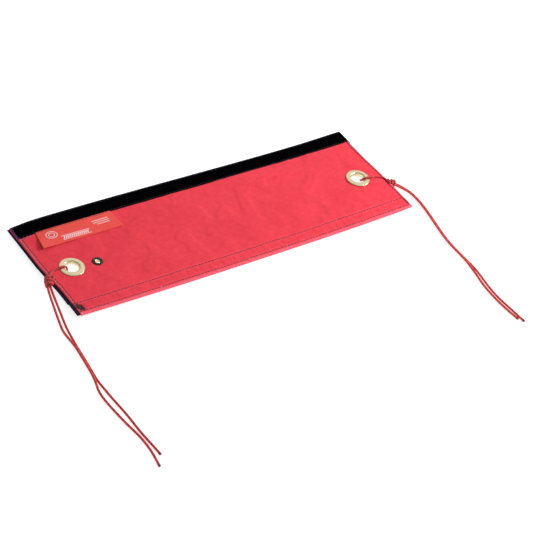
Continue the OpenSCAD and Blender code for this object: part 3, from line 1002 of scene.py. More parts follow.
def hook_strip():
    xs = np.linspace(TAPE_LEFT_X, END_X, 320)
    ys = np.concatenate([[0, 0.15, 0.4, 0.8], np.linspace(1.4, 19.0, 22), [19.6, 20.0, 20.25, 20.4]])
    x, across = np.meshgrid(xs, ys / ys[-1])
    low_y = tape_low_y(x)
    y = low_y + (FAR_Y - low_y) * across
    top = tape_height(x, y) - rounded(np.minimum(y - low_y, FAR_Y - y), 0.5)
    made = slab("hook_strip_tape", x, y, top, TAPE_LOW_Z + lift(x, y), slice(0, len(ys)), [], TAPE)
    settle(made, on_hinge(), "hook_strip")
    random = np.random.default_rng(SEED + 1)
    gx, gy = np.meshgrid(np.arange(TAPE_LEFT_X + 1.5, END_X - 1.0, HOOK_STEP[0]),
                         np.arange(TAPE_Y + 3.4, FAR_Y - 3.0, HOOK_STEP[1]))
    gx = (gx + 0.75 * (np.arange(gx.shape[0]) % 2)[:, None]).ravel()
    gx = gx + random.uniform(-0.15, 0.15, gx.size)
    gy = gy.ravel() + random.uniform(-0.12, 0.12, gx.size)
    way = np.where(random.random(gx.size) < 0.5, -1.0, 1.0)
    lean = random.uniform(-0.15, 0.15, gx.size)
    paths = np.stack([
        gx[:, None] + way[:, None] * HOOK_LINE[None, :, 0],
        gy[:, None] + lean[:, None] * HOOK_LINE[None, :, 1],
        tape_height(gx, gy)[:, None] + HOOK_LINE[None, :, 1],
    ], -1)
    pile("hook_strip_hooks", paths, HOOK_RADII, 4, (0, 1, 0), "hook_strip")


def loop_strip():
    xs = np.linspace(LOOP_LOW[0] + 0.3, LOOP_HIGH[0] - 0.3, 300)
    ys = np.linspace(LOOP_LOW[1] + 0.2, LOOP_HIGH[1] - 0.2, 20)
    x, y = np.meshgrid(xs, ys)
    shift = lift(x, y)
    made = slab("loop_strip_tape", x, y, LOOP_HIGH[2] - 0.02 + shift, LOOP_BASE_Z + shift,
                slice(0, len(ys)), [], TAPE)
    settle(made, on_hinge(), "loop_strip")
    random = np.random.default_rng(SEED + 2)
    gx, gy = np.meshgrid(np.arange(xs[0] + 1.5, xs[-1] - 1.5, LOOP_STEP[0]),
                         np.arange(ys[0] + 1.6, ys[-1] - 1.4, LOOP_STEP[1]))
    gx = (gx + random.uniform(-0.5, 0.5, gx.shape)).ravel()
    gy = (gy + random.uniform(-0.4, 0.4, gy.shape)).ravel()
    turn = random.uniform(0, np.pi, gx.size)
    size = random.uniform(*LOOP_HALF, gx.size)
    angle = np.linspace(-0.15, np.pi + 0.15, 7)
    across = np.cos(angle)[None] * size[:, None]
    down = np.clip(np.sin(angle), -0.1, 1)[None] * LOOP_H
    paths = np.stack([
        gx[:, None] + across * np.cos(turn)[:, None],
        gy[:, None] + across * np.sin(turn)[:, None],
        LOOP_BASE_Z + 0.03 + lift(gx, gy)[:, None] - down,
    ], -1)
    side = np.stack([-np.sin(turn), np.cos(turn), 0 * turn], -1)[:, None, :]
    radii = np.full(len(angle), LOOP_YARN_R)
    pile("loop_strip_loops", paths, radii, 3, side, "loop_strip")


# ---- Stitches ----

def stitch_paths(x, y, dx, dy, height, length=3.1, rise=0.22, sink=0.25):
    """Paths of stitches centred on (x, y), lying along (dx, dy) on the surface height(x, y)."""
    t = np.linspace(-0.5, 0.5, 7)
    dx, dy = (np.broadcast_to(d, x.shape)[:, None] for d in (dx, dy))
    px = x[:, None] + dx * t[None] * length
    py = np.broadcast_to(y, x.shape)[:, None] + dy * t[None] * length
    bow = (rise + sink) * np.sqrt(np.clip(1 - (2 * t) ** 4, 0, 1)) - sink
    return np.stack([px, py, height(px, py) + bow[None]], -1)


STITCH_TAPER = np.array([0.5, 0.9, 1, 1, 1, 0.9, 0.5])


def stitch_piece(name, paths, thickness, material, ride, *nodes):
    points, faces, uv = tubes(paths, STITCH_TAPER * thickness, 6, (0, 0, 1))
    settle(new_piece(name, points, faces, material, uv), ride, *nodes)


def row_jitter(count, seed, amount):
    return np.random.default_rng(SEED + seed).uniform(-amount, amount, count)


def lining_row_z(x, y):
    return 0.45 + lift(x, y)


def long_rows():
    """The rows along the panel: two near the near edge, and two on the hook strip."""
    for number, row in enumerate(NEAR_ROWS):
        x = np.arange(-END_X + 5.5, END_X - 5.0, STITCH_PITCH)
        y = row + row_jitter(len(x), 10 + number, 0.12)
        slant = row_jitter(len(x), 12 + number, 0.06)
        paths = stitch_paths(x, y, 1, slant, canvas_top)
        stitch_piece(f"near_row_{number}", paths, 0.38, DARK_THREAD, on_hinge(),
                     "loop_strip_thread")
        paths = stitch_paths(x + STITCH_PITCH / 2, y, 1, slant, lining_row_z, rise=-0.15, sink=-0.35)
        stitch_piece(f"near_row_under_{number}", paths, 0.25, BLACK_THREAD, on_hinge())
    flecks = np.arange(-END_X + 40, END_X - 20, 61.0) + row_jitter(7, 15, 14)
    y = NEAR_ROWS[0] + row_jitter(7, 16, 0.2)
    paths = stitch_paths(flecks, y, 1, row_jitter(7, 17, 0.5), canvas_top, 1.5, 0.4, 0.1)
    stitch_piece("near_row_flecks", paths, 0.2, WHITE_THREAD, on_hinge())
    for number, row in enumerate(TAPE_ROWS):
        x = np.arange(TAPE_LEFT_X + 2.5, END_X - 2.0, STITCH_PITCH)
        y = row + row_jitter(len(x), 20 + number, 0.12)
        paths = stitch_paths(x, y, 1, row_jitter(len(x), 22 + number, 0.05), tape_height, rise=0.2)
        stitch_piece(f"tape_row_{number}", paths, 0.25, BLACK_THREAD, on_hinge(),
                     "hook_strip_thread")


def lining_under(x, y):
    """Height of the lining's lower face, for stitches that show under it."""
    s = np.minimum(x - lining_left_x(y), lining_right_x(y) - x)
    return lining_faces(x, y, s)[1]


def hem_rows():
    """The hem stitches at both ends, cut where the fabric is cut."""
    for k, stave in enumerate(STAVES[1:]):
        high = min(CUT_Y[k], TAPE_Y - 1.0)
        low = max(CUT_Y[k + 1], NEAR_Y + 5.0)
        y = np.arange(math.ceil(low / STITCH_PITCH) * STITCH_PITCH, high, STITCH_PITCH)
        y = y[(y > low) & (y <= high)]
        above = []
        under = []
        for side in SIDES:
            x = canvas_end_x(side, y) - side * HEM_ROW + row_jitter(len(y), 30 + 2 * k + side, 0.1)
            slant = row_jitter(len(y), 50 + 2 * k + side, 0.05)
            above.append(stitch_paths(x, y, slant, 1, canvas_top, length=4.0, rise=0.25, sink=0.3))
            under.append(stitch_paths(x, y, slant, 1, lining_under, rise=-0.2, sink=-0.2))
        stitch_piece(f"hem_stitches_{stave}", np.concatenate(above), 0.6, DARK_THREAD, on_hinge(),
                     f"end_thread_{stave}")
        stitch_piece(f"hem_stitches_under_{stave}", np.concatenate(under), 0.25, BLACK_THREAD,
                     on_hinge())


def corner_tacks():
    """Reversing stitches: a loose zigzag at the near left corner, a heavy bar at the near right."""
    random = np.random.default_rng(SEED + 3)
    low, high = NEAR_ROWS
    x0 = box_mm("corner_tack")[0][0]
    t = np.linspace(0, 1, 7)[:, None]
    zigzag = []
    for number in range(9):
        ax = x0 + 0.6 + 0.75 * number + random.uniform(-0.6, 0.6)
        a = np.array([ax, low + random.uniform(-0.6, 1.5)])
        bx = x0 - 2.2 + 0.8 * number + random.uniform(-1.2, 0.8)
        b = np.array([bx, high - random.uniform(-0.5, 4.0)])
        line = a + (b - a) * t
        line[:, 0] += 0.5 * np.sin(np.pi * t[:, 0]) * random.uniform(-1, 1)
        z = canvas_top(line[:, 0], line[:, 1]) + 0.30 * np.sin(np.pi * t[:, 0]) + 0.02
        zigzag.append(np.column_stack([line, z]))
    stitch_piece("corner_tack_stitches", np.array(zigzag), 0.36, BLACK_THREAD,
                 on_hinge(), "corner_tack")
    y = np.arange(low + 0.5, high + 3.5, 1.5)
    x = END_X - HEM_ROW + random.uniform(-0.25, 0.25, len(y))
    paths = stitch_paths(x, y, random.uniform(-0.15, 0.15, len(y)), 1, canvas_top, 3.2, 0.35)
    stitch_piece("near_right_bar", paths, 0.36, BLACK_THREAD, on_hinge(),
                 "end_thread_near_flap")


def tape_end_stitches():
    """Blue thread that binds the tape's left end, and a few stitches of it at its lower corners."""
    y = np.arange(TAPE_Y + 0.5, FAR_Y - 1.0, 1.7)
    x = TAPE_LEFT_X + 0.5 + row_jitter(len(y), 70, 0.15)
    paths = [stitch_paths(x, y, 0.5, 1, tape_height, 1.5)]
    for start, count in ((TAPE_LEFT_X + 1.0, 6), (END_X - 5.0, 2)):
        x = start + 2.2 * np.arange(count)
        y = tape_low_y(x) + 0.5 + row_jitter(count, 71, 0.15)
        paths.append(stitch_paths(x, y, 1, row_jitter(count, 72, 0.2), tape_height, 1.5, 0.35))
    stitch_piece("tape_end_stitches", np.concatenate(paths), 0.27, BLUE_THREAD, on_hinge())


def beside_tape(x, y):
    return TOP_Z - 0.25 + lift(x, y)


def stray_threads():
    """Bits of navy and white thread along the tape's lower edge, about half of them near its left
    end."""
    random = np.random.default_rng(SEED + 4)
    kinds = (("navy", BLACK_THREAD, 26, 2.4), ("white", WHITE_THREAD, 9, 1.6))
    for name, material, count, length in kinds:
        at_end = -END_X + 4 + 24 * random.random(count // 2)
        anywhere = -END_X + 10 + 430 * random.random(count - count // 2)
        x = np.concatenate([at_end, anywhere])
        y = tape_low_y(x) - 0.3 + random.uniform(-0.5, 0.3, count)
        slant = random.uniform(-0.35, 0.35, count)
        paths = stitch_paths(x, y, 1, slant, beside_tape, length, 0.3, 0.2)
        stitch_piece(f"tape_edge_{name}", paths, 0.2, material, on_hinge())


# ---- Label ----

LABEL_T = 0.34
LABEL_DEPTH = LABEL_HIGH[1] - LABEL_LOW[1]
FOLD_AT = 0.975


def label_layers(x, u):
    """Heights of the label's two layers at u, from 0 at the sewn edge to 1 at the fold."""
    left = np.maximum(x - LABEL_LOW[0], 0)
    base = TOP_Z + lift(x, LABEL_HIGH[1] - u * LABEL_DEPTH) + 0.30
    raised = u * (0.25 + 1.3 * np.exp(-left / 10.0) * u)
    raised = raised + 0.22 * np.sin(np.pi * u) + 0.16 * u * np.sin(x / 9.5 + 1.0)
    raised = raised + 0.1 * np.sin(x / 5 + 4 * u) * u
    gap = 0.36 + 0.45 * np.sin(np.pi * np.clip(u, 0, 1) * 0.5) * (1 + 0.35 * np.sin(x / 14 + 2))
    gap = gap + 1.1 * np.exp(-left / 9.0) * u ** 2
    return base + raised, base + raised + gap


LABEL_SPREAD_LEFT = 5.0
LABEL_SPREAD_RIGHT = 2.2


def spread(x, u):
    """The label's free edge is longer than its sewn edge, most of all on the left."""
    t = (x - LABEL_LOW[0]) / (LABEL_HIGH[0] - LABEL_LOW[0])
    return x + u * (LABEL_SPREAD_RIGHT * t ** 3 - LABEL_SPREAD_LEFT * (1 - t) ** 2)


def label_top(x, y):
    """The label's upper face at any place, which is found by undoing the spread."""
    u = (LABEL_HIGH[1] - y) / LABEL_DEPTH
    unspread = x
    for _ in range(5):
        unspread = x - (spread(unspread, u) - unspread)
    return label_layers(unspread, u)[1] + LABEL_T / 2


def label_outline(x):
    """The folded ribbon's midline at one place along the label, as points (x, y, z)."""
    us = np.linspace(0, FOLD_AT, 30)
    low, high = label_layers(x, us)
    fold = label_layers(x, np.array([FOLD_AT]))
    half = (fold[1][0] - fold[0][0]) / 2
    mid = (fold[1][0] + fold[0][0]) / 2
    angles = np.radians(np.linspace(-75, 75, 9))
    fold_y = LABEL_HIGH[1] - FOLD_AT * LABEL_DEPTH - half * np.cos(angles) * 1.1
    flat_y = LABEL_HIGH[1] - us * LABEL_DEPTH
    y = np.concatenate([flat_y, fold_y, flat_y[::-1]])
    z = np.concatenate([low, mid + half * np.sin(angles), high[::-1]])
    return np.stack([spread(x, (LABEL_HIGH[1] - y) / LABEL_DEPTH), y, z], -1)


def label_ribbon():
    """One ribbon, folded at its free edge, with both cut ends sewn down side by side."""
    columns = np.linspace(LABEL_LOW[0], LABEL_HIGH[0], 110)
    outer = np.array([label_outline(x) for x in columns])
    inner = outer.copy()
    along = np.gradient(outer[:, :, 1:], axis=1)
    along /= np.linalg.norm(along, axis=2, keepdims=True)
    outward = np.stack([-along[:, :, 1], along[:, :, 0]], -1)
    outer[:, :, 1:] -= outward * LABEL_T / 2
    inner[:, :, 1:] += outward * LABEL_T / 2
    ring = np.concatenate([outer, inner[:, ::-1]], 1)
    many, count = ring.shape[:2]
    faces = ring_walls(many, count).reshape(-1, 4)
    length = np.linspace(0, 2 * LABEL_DEPTH, count // 2)
    v = np.concatenate([length, length[::-1] + 70])
    uv_point = np.stack([np.repeat(columns, count), np.tile(v, many)], -1)
    j = np.arange(count // 2 - 1)[:, None]
    cap = np.concatenate([j, j + 1, count - 2 - j, count - 1 - j], 1)
    faces = np.concatenate([faces, cap[:, ::-1], cap + (many - 1) * count])
    uv = uv_point[faces].reshape(-1, 2)
    made = new_piece("label_ribbon", ring.reshape(-1, 3), faces.tolist(), LABEL, uv)
    made.data.set_sharp_from_angle(angle=math.radians(50))
    settle(made, ride_label, "label")


def ride_label(piece):
    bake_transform(piece)


MOTIF_RISE = 0.07
MOTIF_SINK = 0.05


def ribbon_strip(line, width, closed):
    """A flat raised line on the label: points and faces of a thin closed strip."""
    around = np.roll(line, -1, 0) - np.roll(line, 1, 0)
    ahead = unit(around if closed else np.gradient(line, axis=0))
    side = np.stack([-ahead[:, 1], ahead[:, 0]], -1) * width / 2
    rows = []
    for edge, add in ((line + side, -MOTIF_SINK), (line + side, MOTIF_RISE),
                      (line - side, MOTIF_RISE), (line - side, -MOTIF_SINK)):
        rows.append(np.column_stack([edge, label_top(edge[:, 0], edge[:, 1]) + add]))
    points = np.stack(rows, 1).reshape(-1, 3)
    last = 4 * len(line) - 1
    faces = ring_walls(len(line), 4, closed)[..., [0, 3, 2, 1]].reshape(-1, 4).tolist()
    if not closed:
        faces += [[0, 1, 2, 3], [last, last - 1, last - 2, last - 3]]
    return points, faces


# The motif, in millimetres from the label's near left corner: the two rings' middle, radii and
# stretch along the label, the strokes' first place, step and number, and the lines as
# (y, start, end, points, width)
MOTIF_RINGS_AT = (14, 15.5)
MOTIF_RINGS = (5.2, 2.8)
RING_STRETCH = 1.25
STROKES_X = 24
STROKE_STEP = 2.5
MOTIF_STROKES = 13
MOTIF_LINES = ((3.6, 22.5, 58.5, 30, 0.5), (9.4, 22.5, 58.5, 30, 0.5), (17.6, 66, 86, 18, 0.7),
               (14.6, 66, 86, 18, 0.7), (11.6, 70, 86, 18, 0.7))


def label_motif():
    """A generic woven motif: a coil of two rings, a rope of slanted strokes between two lines, and
    three short lines."""
    strips = []
    corner = LABEL_LOW[:2]
    turn = np.linspace(0, 2 * np.pi, 40, endpoint=False)
    for radius in MOTIF_RINGS:
        oval = radius * np.stack([RING_STRETCH * np.cos(turn), np.sin(turn)], -1)
        strips.append((corner + MOTIF_RINGS_AT + oval, 0.65, True))
    for number in range(MOTIF_STROKES):
        x = STROKES_X + STROKE_STEP * number
        strips.append((corner + np.linspace([x, 4.6], [x + 1.9, 8.4], 5), 1.15, False))
    for y, start, end, count, width in MOTIF_LINES:
        strips.append((corner + np.linspace([start, y], [end, y], count), width, False))
    points, faces, count = [], [], 0
    for line, width, closed in strips:
        p, f = ribbon_strip(line, width, closed)
        points.append(p)
        faces += [[count + k for k in face] for face in f]
        count += len(p)
    made = new_piece("label_motif", np.concatenate(points), faces, EMBROIDERY)
    made.data.set_sharp_from_angle(angle=math.radians(40))
    ride_label(made)


def label_stitches():
    """The row that sews the label down along the tape's lower edge."""
    x = np.arange(LABEL_LOW[0] + 2.5, LABEL_HIGH[0] - 1.5, STITCH_PITCH)
    slant = row_jitter(len(x), 60, 0.05)
    paths = stitch_paths(x, LABEL_HIGH[1] - 1.3, 1, slant, label_top, rise=0.16)
    stitch_piece("label_stitches", paths, 0.22, BLACK_THREAD, ride_label)


# ---- Eyelets ----

ROLL_REACH = 1.4
MOUTH_R = 1.6
FLANGE_H = 1.45


def eyelet_profile(low_z):
    """Closed outline of a large eyelet: rounded flange, straight barrel, and a rolled lower rim."""
    base = TOP_Z - 0.05
    crown = base + FLANGE_H
    middle = (FLANGE_R + BORE_R) / 2
    outline = arc((FLANGE_R - 0.55, base + 0.35), 0.55, -70, 75, 7)
    for r in np.linspace(FLANGE_R - 0.9, BORE_R + MOUTH_R, 9):
        slope = 0.07 if r < middle else 0.056
        outline.append((r, crown - slope * (r - middle + 0.6) ** 2))
    outline += arc((BORE_R + MOUTH_R, crown - MOUTH_R - 0.15), MOUTH_R, 95, 180, 9)
    outline += [(BORE_R, z) for z in np.linspace(base - 0.8, low_z + 1.1, 5)]
    outline += arc((BORE_R + 0.9, low_z + 0.9), 0.9, 190, 270, 6)
    outline += arc((BARREL_R + ROLL_REACH - 0.45, low_z + 0.45), 0.45, -90, 80, 6)
    outline += [(BARREL_R, low_z + 0.5), (BARREL_R, base - 0.3), (FLANGE_R - 1.2, base - 0.25)]
    return outline


def washer_profile(low_z):
    outline = [(BARREL_R + 1.55, low_z + 0.12), (BARREL_R + 1.8, low_z), (WASHER_R - 0.5, low_z + 0.05)]
    outline += arc((WASHER_R - 0.28, low_z + 0.3), 0.28, -80, 80, 6)
    return outline + [(WASHER_R - 0.6, low_z + 0.58), (BARREL_R + 1.55, low_z + 0.5)]


def turned(name, outline, centre, sides, material, node, inward=False):
    """A ring of metal in the panel, at the height that the panel has there.
    inward is for an outline that runs the other way round."""
    shift = float(lift(centre[0], centre[1]))
    points, faces = lathe([(r, z + shift) for r, z in outline], centre, sides)
    if inward:
        faces = [corners[::-1] for corners in faces]
    made = new_piece(name, points, faces, material)
    made.data.set_sharp_from_angle(angle=math.radians(50))
    settle(made, on_spine, node)


def large_eyelets():
    for side, name in SIDES.items():
        low_z = box_mm(f"{name}_eyelet")[0][2]
        turned(f"{name}_eyelet_brass", eyelet_profile(low_z), EYELETS[side], 128, BRASS,
               f"{name}_eyelet")
        turned(f"{name}_washer_brass", washer_profile(low_z), EYELETS[side], 128, BRASS,
               f"{name}_eyelet_washer")


def small_eyelet():
    """A black eyelet, and the brass liner that is rolled over under the panel."""
    low_z = box_mm("small_eyelet_liner")[0][2]
    base = TOP_Z - 0.05
    liner_r = SMALL_BORE_R + 0.4
    flange = arc((SMALL_FLANGE_R - 0.5, base + 0.35), 0.5, -70, 70, 6)
    for r in np.linspace(SMALL_FLANGE_R - 0.9, liner_r + 0.9, 6):
        flange.append((r, base + 0.95 - 0.05 * (r - 4.6) ** 2))
    flange += arc((liner_r + 0.9, base + 0.05), 0.85, 100, 180, 6)
    flange += [(liner_r + 0.03, base - 1.0), (liner_r + 0.03, low_z + 0.7),
               (SMALL_BARREL_R, low_z + 0.7), (SMALL_BARREL_R, base - 0.2),
               (SMALL_FLANGE_R - 1.0, base - 0.2)]
    turned("small_eyelet_black", flange, SMALL_EYELET, 96, BLACK_METAL, "small_eyelet")
    liner = [(SMALL_BORE_R, low_z + 0.5), (SMALL_BORE_R, base + 0.2), (SMALL_BORE_R + 0.2, base + 0.35),
             (liner_r, base + 0.2), (liner_r, low_z + 0.6), (SMALL_WASHER_R - 0.4, low_z + 0.5)]
    liner += arc((SMALL_WASHER_R - 0.25, low_z + 0.25), 0.25, 70, -80, 6)
    liner += [(SMALL_BORE_R + 1.4, low_z)] + arc((SMALL_BORE_R + 0.9, low_z + 0.9), 0.9, 250, 190, 6)
    turned("small_eyelet_brass", liner, SMALL_EYELET, 96, BRASS, "small_eyelet_liner",
           inward=True)


# ---- Cords ----

CORD_R = 1.38
LOOP_R = 1.15
CORD_SIDES = 24
CORD_STEP = 0.3


def braided(name, path, radius, up, ride, *nodes):
    """A braided cord along a path. The yarns stand out as small crossing ridges."""
    path = evenly(path, CORD_STEP)
    along = np.arange(len(path))[:, None] * CORD_STEP
    angle = 2 * np.pi * np.arange(CORD_SIDES) / CORD_SIDES
    right = BRAID_LOBES * angle[None] / (2 * np.pi) + along / BRAID_PITCH
    left = BRAID_LOBES * angle[None] / (2 * np.pi) - along / BRAID_PITCH
    ridge = np.abs(np.cos(np.pi * right) * np.cos(np.pi * left))
    points, faces, uv = tubes(path[None], radius * (0.93 + 0.11 * ridge), CORD_SIDES, up)
    settle(new_piece(name, points, faces, CORD, uv), ride, *nodes)


def loose_parts(node):
    """Each separate solid in a CAD node, as the two ends of its edges in millimetres."""
    mesh = frame["nodes"][node].data
    co = np.array([v.co for v in mesh.vertices]).reshape(-1, 3) / MM
    _, merged = np.unique(co.round(3), axis=0, return_inverse=True)
    first, second = np.array([e.vertices[:] for e in mesh.edges]).T
    a, b = merged.ravel()[first], merged.ravel()[second]
    label = np.arange(merged.max() + 1)
    before = None
    while before is None or (label != before).any():
        before = label.copy()
        low = np.minimum(label[a], label[b])
        np.minimum.at(label, a, low)
        np.minimum.at(label, b, low)
    return [(co[first[label[a] == one]], co[second[label[a] == one]]) for one in np.unique(label[a])]


def midline(part, step=4.0):
    """The middle of a cord that runs towards -Y, as points `step` apart in y."""
    a, b = part
    low, high = min(a[:, 1].min(), b[:, 1].min()), max(a[:, 1].max(), b[:, 1].max())
    found = []
    for y in np.linspace(high - 0.6, low + 0.6, int((high - low - 1.2) / step)):
        cut = (a[:, 1] - y) * (b[:, 1] - y) < 0
        t = (y - a[cut, 1]) / (b[cut, 1] - a[cut, 1])
        hit = a[cut] + (b[cut] - a[cut]) * t[:, None]
        x, _, z = (hit.min(0) + hit.max(0)) / 2
        found.append([x, y, z])
    return np.array(found)


CORD_REST_Z = FLOOR_Z + CORD_R + 0.06


def strand_pair(side):
    """The two strands of one side's tails, from the knot to their tips: the inner and the outer."""
    lengths = []
    for part, step in (("tails", 4.0), ("tail_ends", 4.0), ("tips", 1.0)):
        lines = [midline(one, step) for one in loose_parts(f"{SIDES[side]}_cord_{part}")]
        lengths.append(sorted(lines, key=lambda line: abs(line[0, 0])))
    strands = []
    for tail, end, tip in zip(*lengths):
        line = np.vstack([tail, end, tip[-1:]])
        line[:, 2] = CORD_REST_Z
        strands.append(line)
    return strands


# The strands of each side run together between these places in y
TOGETHER_FROM = {-1: -108.0, 1: -45.0}
TOGETHER_TO = {-1: -160.0, 1: -172.0}


def leaning(strands, side):
    """The strands lie against each other where they run together."""
    made = []
    for line, other in (strands, strands[::-1]):
        line = line.copy()
        x, y = line[:, 0].copy(), line[:, 1]
        begun = smooth_step((TOGETHER_FROM[side] + 15 - y) / 15)
        together = begun * smooth_step((y - TOGETHER_TO[side] + 12) / 12)
        middle = (x + np.interp(-y, -other[:, 1], other[:, 0])) / 2
        reach = x - middle
        touching = np.sign(reach) * 0.83 * CORD_R
        line[:, 0] = middle + reach * (1 - together) + touching * together
        line[:, 2] += np.where(reach < 0, 1.1 * CORD_R, 0) * together
        made.append(line)
    return made


# Where each tied knot lies, from the middle of its CAD solid
KNOT_SHIFT = {-1: np.array([3.3, -1.6, 4.2]), 1: np.array([-4.6, -4.6, 1.7])}


def knot_axis(side):
    """A knot's middle, its level axis towards the tails, and the level direction across it."""
    knot = middle_mm(f"{SIDES[side]}_cord_knot")
    pivot = joint_mm(f"{SIDES[side]}_tails_swing")
    axis = unit(np.array([pivot[0] - knot[0], pivot[1] - knot[1], 0]))
    return knot + KNOT_SHIFT[side], axis, np.array([-axis[1], axis[0], 0])


# From TAIL_JOIN_Y on, a strand follows its CAD solids. It is made in two lengths that meet at SPLIT_Y.
TAIL_JOIN_Y = {-1: -78.0, 1: -46.0}
SPLIT_Y = -100.0


def bender():
    """Returns a ride that only bakes a piece's transform into its mesh."""
    return lambda piece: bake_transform(piece)


def tails(side):
    """Each strand in two lengths: from the knot to the split, and from there to its tip."""
    name = SIDES[side]
    knot, axis, cross = knot_axis(side)
    swing = bender()
    bend = bender()
    lines = leaning(strand_pair(side), side)
    for number, which in enumerate(("inner", "outer")):
        line = lines[number]
        across = cross * np.sign((line[0] - lines[1 - number][0]) @ cross)
        head = [knot + axis * 0.5 + across * 0.9, knot + axis * 7.0 + across * 1.7 + (0, 0, -2.4)]
        line = line[line[:, 1] < TAIL_JOIN_Y[side]]
        path = relaxed(evenly(curve(np.vstack([head, line]), 6), 1.0), 90)
        cut = int(np.argmin(np.abs(path[:, 1] - SPLIT_Y)))
        braided(f"{name}_{which}_tail", path[:cut + 1], CORD_R, (0, 0, 1), swing, f"{name}_cord_tails")
        braided(f"{name}_{which}_tail_end", path[cut:], CORD_R, (0, 0, 1), bend,
                f"{name}_cord_tail_ends", f"{name}_cord_tails")
        cord_tip(f"{name}_{which}_tip", path[-12:], bend, f"{name}_cord_tips")


TIP_SIDES = 16


def cord_tip(name, path, ride, node):
    """A melted bead that closes the end of a strand."""
    path = evenly(path, 0.25)
    away = unit(path[-1] - path[-6])
    path = np.vstack([path[-13:], path[-1] + away * 0.35, path[-1] + away * 0.7])
    t = np.linspace(0, 1, len(path))
    closing = np.sqrt(np.clip(1 - np.maximum(t - 0.8, 0) ** 2 * 22, 0.05, 1))
    swell = CORD_R * (1.05 + 0.10 * np.sin(np.pi * t)) * closing
    random = np.random.default_rng(SEED + len(name))
    radii = swell[:, None] * (1 + 0.04 * random.standard_normal((len(path), TIP_SIDES)))
    points, faces, uv = tubes(path[None], radii, TIP_SIDES, (0, 0, 1))
    settle(new_piece(name, points, faces, MELTED, uv), ride, node)


# Places in y where each loop climbs onto the panel, crosses the eyelet's flange and enters its
# bore, then how far outward of the eyelet's middle that is, and how far beyond the knot's middle
# the loop comes back under the panel's edge
LOOP_RISE_Y = {-1: -5.0, 1: -14.0}
LOOP_FLANGE_Y = {-1: -4.4, 1: -12.6}
LOOP_BORE_Y = {-1: -5.4, 1: -11.3}
LOOP_BORE_REACH = {-1: 5.2, 1: 4.6}
LOOP_RETURN = {-1: 5.3, 1: 7.0}


def cord_loop(side):
    """From the knot over the eyelet's flange, down its bore and back under the panel.
    The points count x outwards from the middle of the panel."""
    name = SIDES[side]
    knot = knot_axis(side)[0]
    knot_x, knot_y = abs(knot[0]), knot[1]
    eyelet_x, eyelet_y = abs(EYELETS[side][0]), EYELETS[side][1]
    shift = float(lift(EYELETS[side][0], eyelet_y))
    over_z = TOP_Z + 1.1 + LOOP_R + shift
    under_z = FLOOR_Z + LOOP_R + 0.05
    rise_y, flange_y, bore_y = LOOP_RISE_Y[side], LOOP_FLANGE_Y[side], LOOP_BORE_Y[side]
    bore_x = eyelet_x + LOOP_BORE_REACH[side]
    points = np.array([
        [knot_x - 1.0, knot_y + 1.0, 3.2],
        [knot_x - 3.6, knot_y + 3.4, 4.9],
        [END_X - 2.5, knot_y + 0.62 * (rise_y - knot_y), TOP_Z + 0.5 + LOOP_R],
        [END_X - 10, rise_y, TOP_Z + LOOP_R + 0.1],
        [eyelet_x + 14.8, 0.4 * rise_y + 0.6 * flange_y, over_z - 0.35],
        [eyelet_x + 10.6, flange_y, over_z + 0.2],
        [bore_x + 1.2, bore_y, TOP_Z + 0.9 + shift],
        [bore_x, 0.5 * (bore_y + eyelet_y), 1.2],
        [bore_x + 1.5, eyelet_y + 0.6, under_z + 0.35],
        [bore_x + 6.5, eyelet_y, under_z],
        [END_X - 12, eyelet_y - 1.5, under_z],
        [END_X - 4, knot_y + LOOP_RETURN[side], under_z],
        [END_X, knot_y + 3.2, under_z + 0.3],
        [knot_x - 2.0, knot_y + 0.6, -0.2],
    ])
    path = curve(points * (side, 1, 1), 8)
    braided(f"{name}_loop", path, LOOP_R, (0, 1, 0), on_spine, f"{name}_cord_loop")


# A knot's coil: its turns, radius and half length. Then the strand that crosses back over it:
# its turns, how far it stands off the coil, and its length against the coil's
KNOT_TURNS = 2.6
KNOT_COIL_R = {-1: 4.0, 1: 3.4}
KNOT_HALF = {-1: 5.8, 1: 4.0}
BACK_TURNS = 0.62
BACK_RISE = 1.9
BACK_SHARE = 0.9


def cord_knot(side):
    """An overhand knot pulled tight: a slanting coil, and one strand that crosses back over it."""
    knot, axis, cross = knot_axis(side)
    half = KNOT_HALF[side]
    coil = np.linspace(0, 1, 150)
    turn = 2 * np.pi * KNOT_TURNS * coil
    along = half * (2 * coil - 1) + 0.9 * np.sin(turn + 0.6)
    radius = KNOT_COIL_R[side] * (0.84 + 0.16 * np.sin(np.pi * coil))
    radius = radius * (0.35 + 0.65 * smooth_step(coil / 0.12))
    back = np.linspace(0, 1, 60)[1:]
    back_turn = turn[-1] + 2 * np.pi * BACK_TURNS * back
    back_along = along[-1] - 2 * half * BACK_SHARE * smooth_step(back)
    back_radius = radius[-1] + BACK_RISE * np.sin(np.pi * np.clip(back * 1.02, 0, 1)) ** 0.7
    back_radius = back_radius * (1 - 0.55 * smooth_step((back - 0.82) / 0.18))
    turn = np.concatenate([turn, back_turn])
    along = np.concatenate([along, back_along])
    radius = np.concatenate([radius, back_radius])
    path = knot + axis * along[:, None] + cross * (radius * np.cos(turn))[:, None]
    path[:, 2] += radius * np.sin(turn)
    braided(f"{SIDES[side]}_knot", path, CORD_R, tuple(axis), on_spine, f"{SIDES[side]}_cord_knot")


# ---- Stage ----

CAMERA_AZIMUTH = 42.97
CAMERA_ELEVATION = 41.61
CAMERA_ROLL = 13.51
CAMERA_DISTANCE = 2296.0
CAMERA_LENS = 137.6
AIM_RIGHT = 55.8
AIM_DOWN = 53.2


def aim(thing, right, up, place):
    """Puts a camera or a lamp at a place in metres, with its own right and up directions."""
    columns = np.column_stack([right, up, np.cross(right, up), place])
    thing.matrix_world = Matrix(columns.tolist() + [[0, 0, 0, 1]])


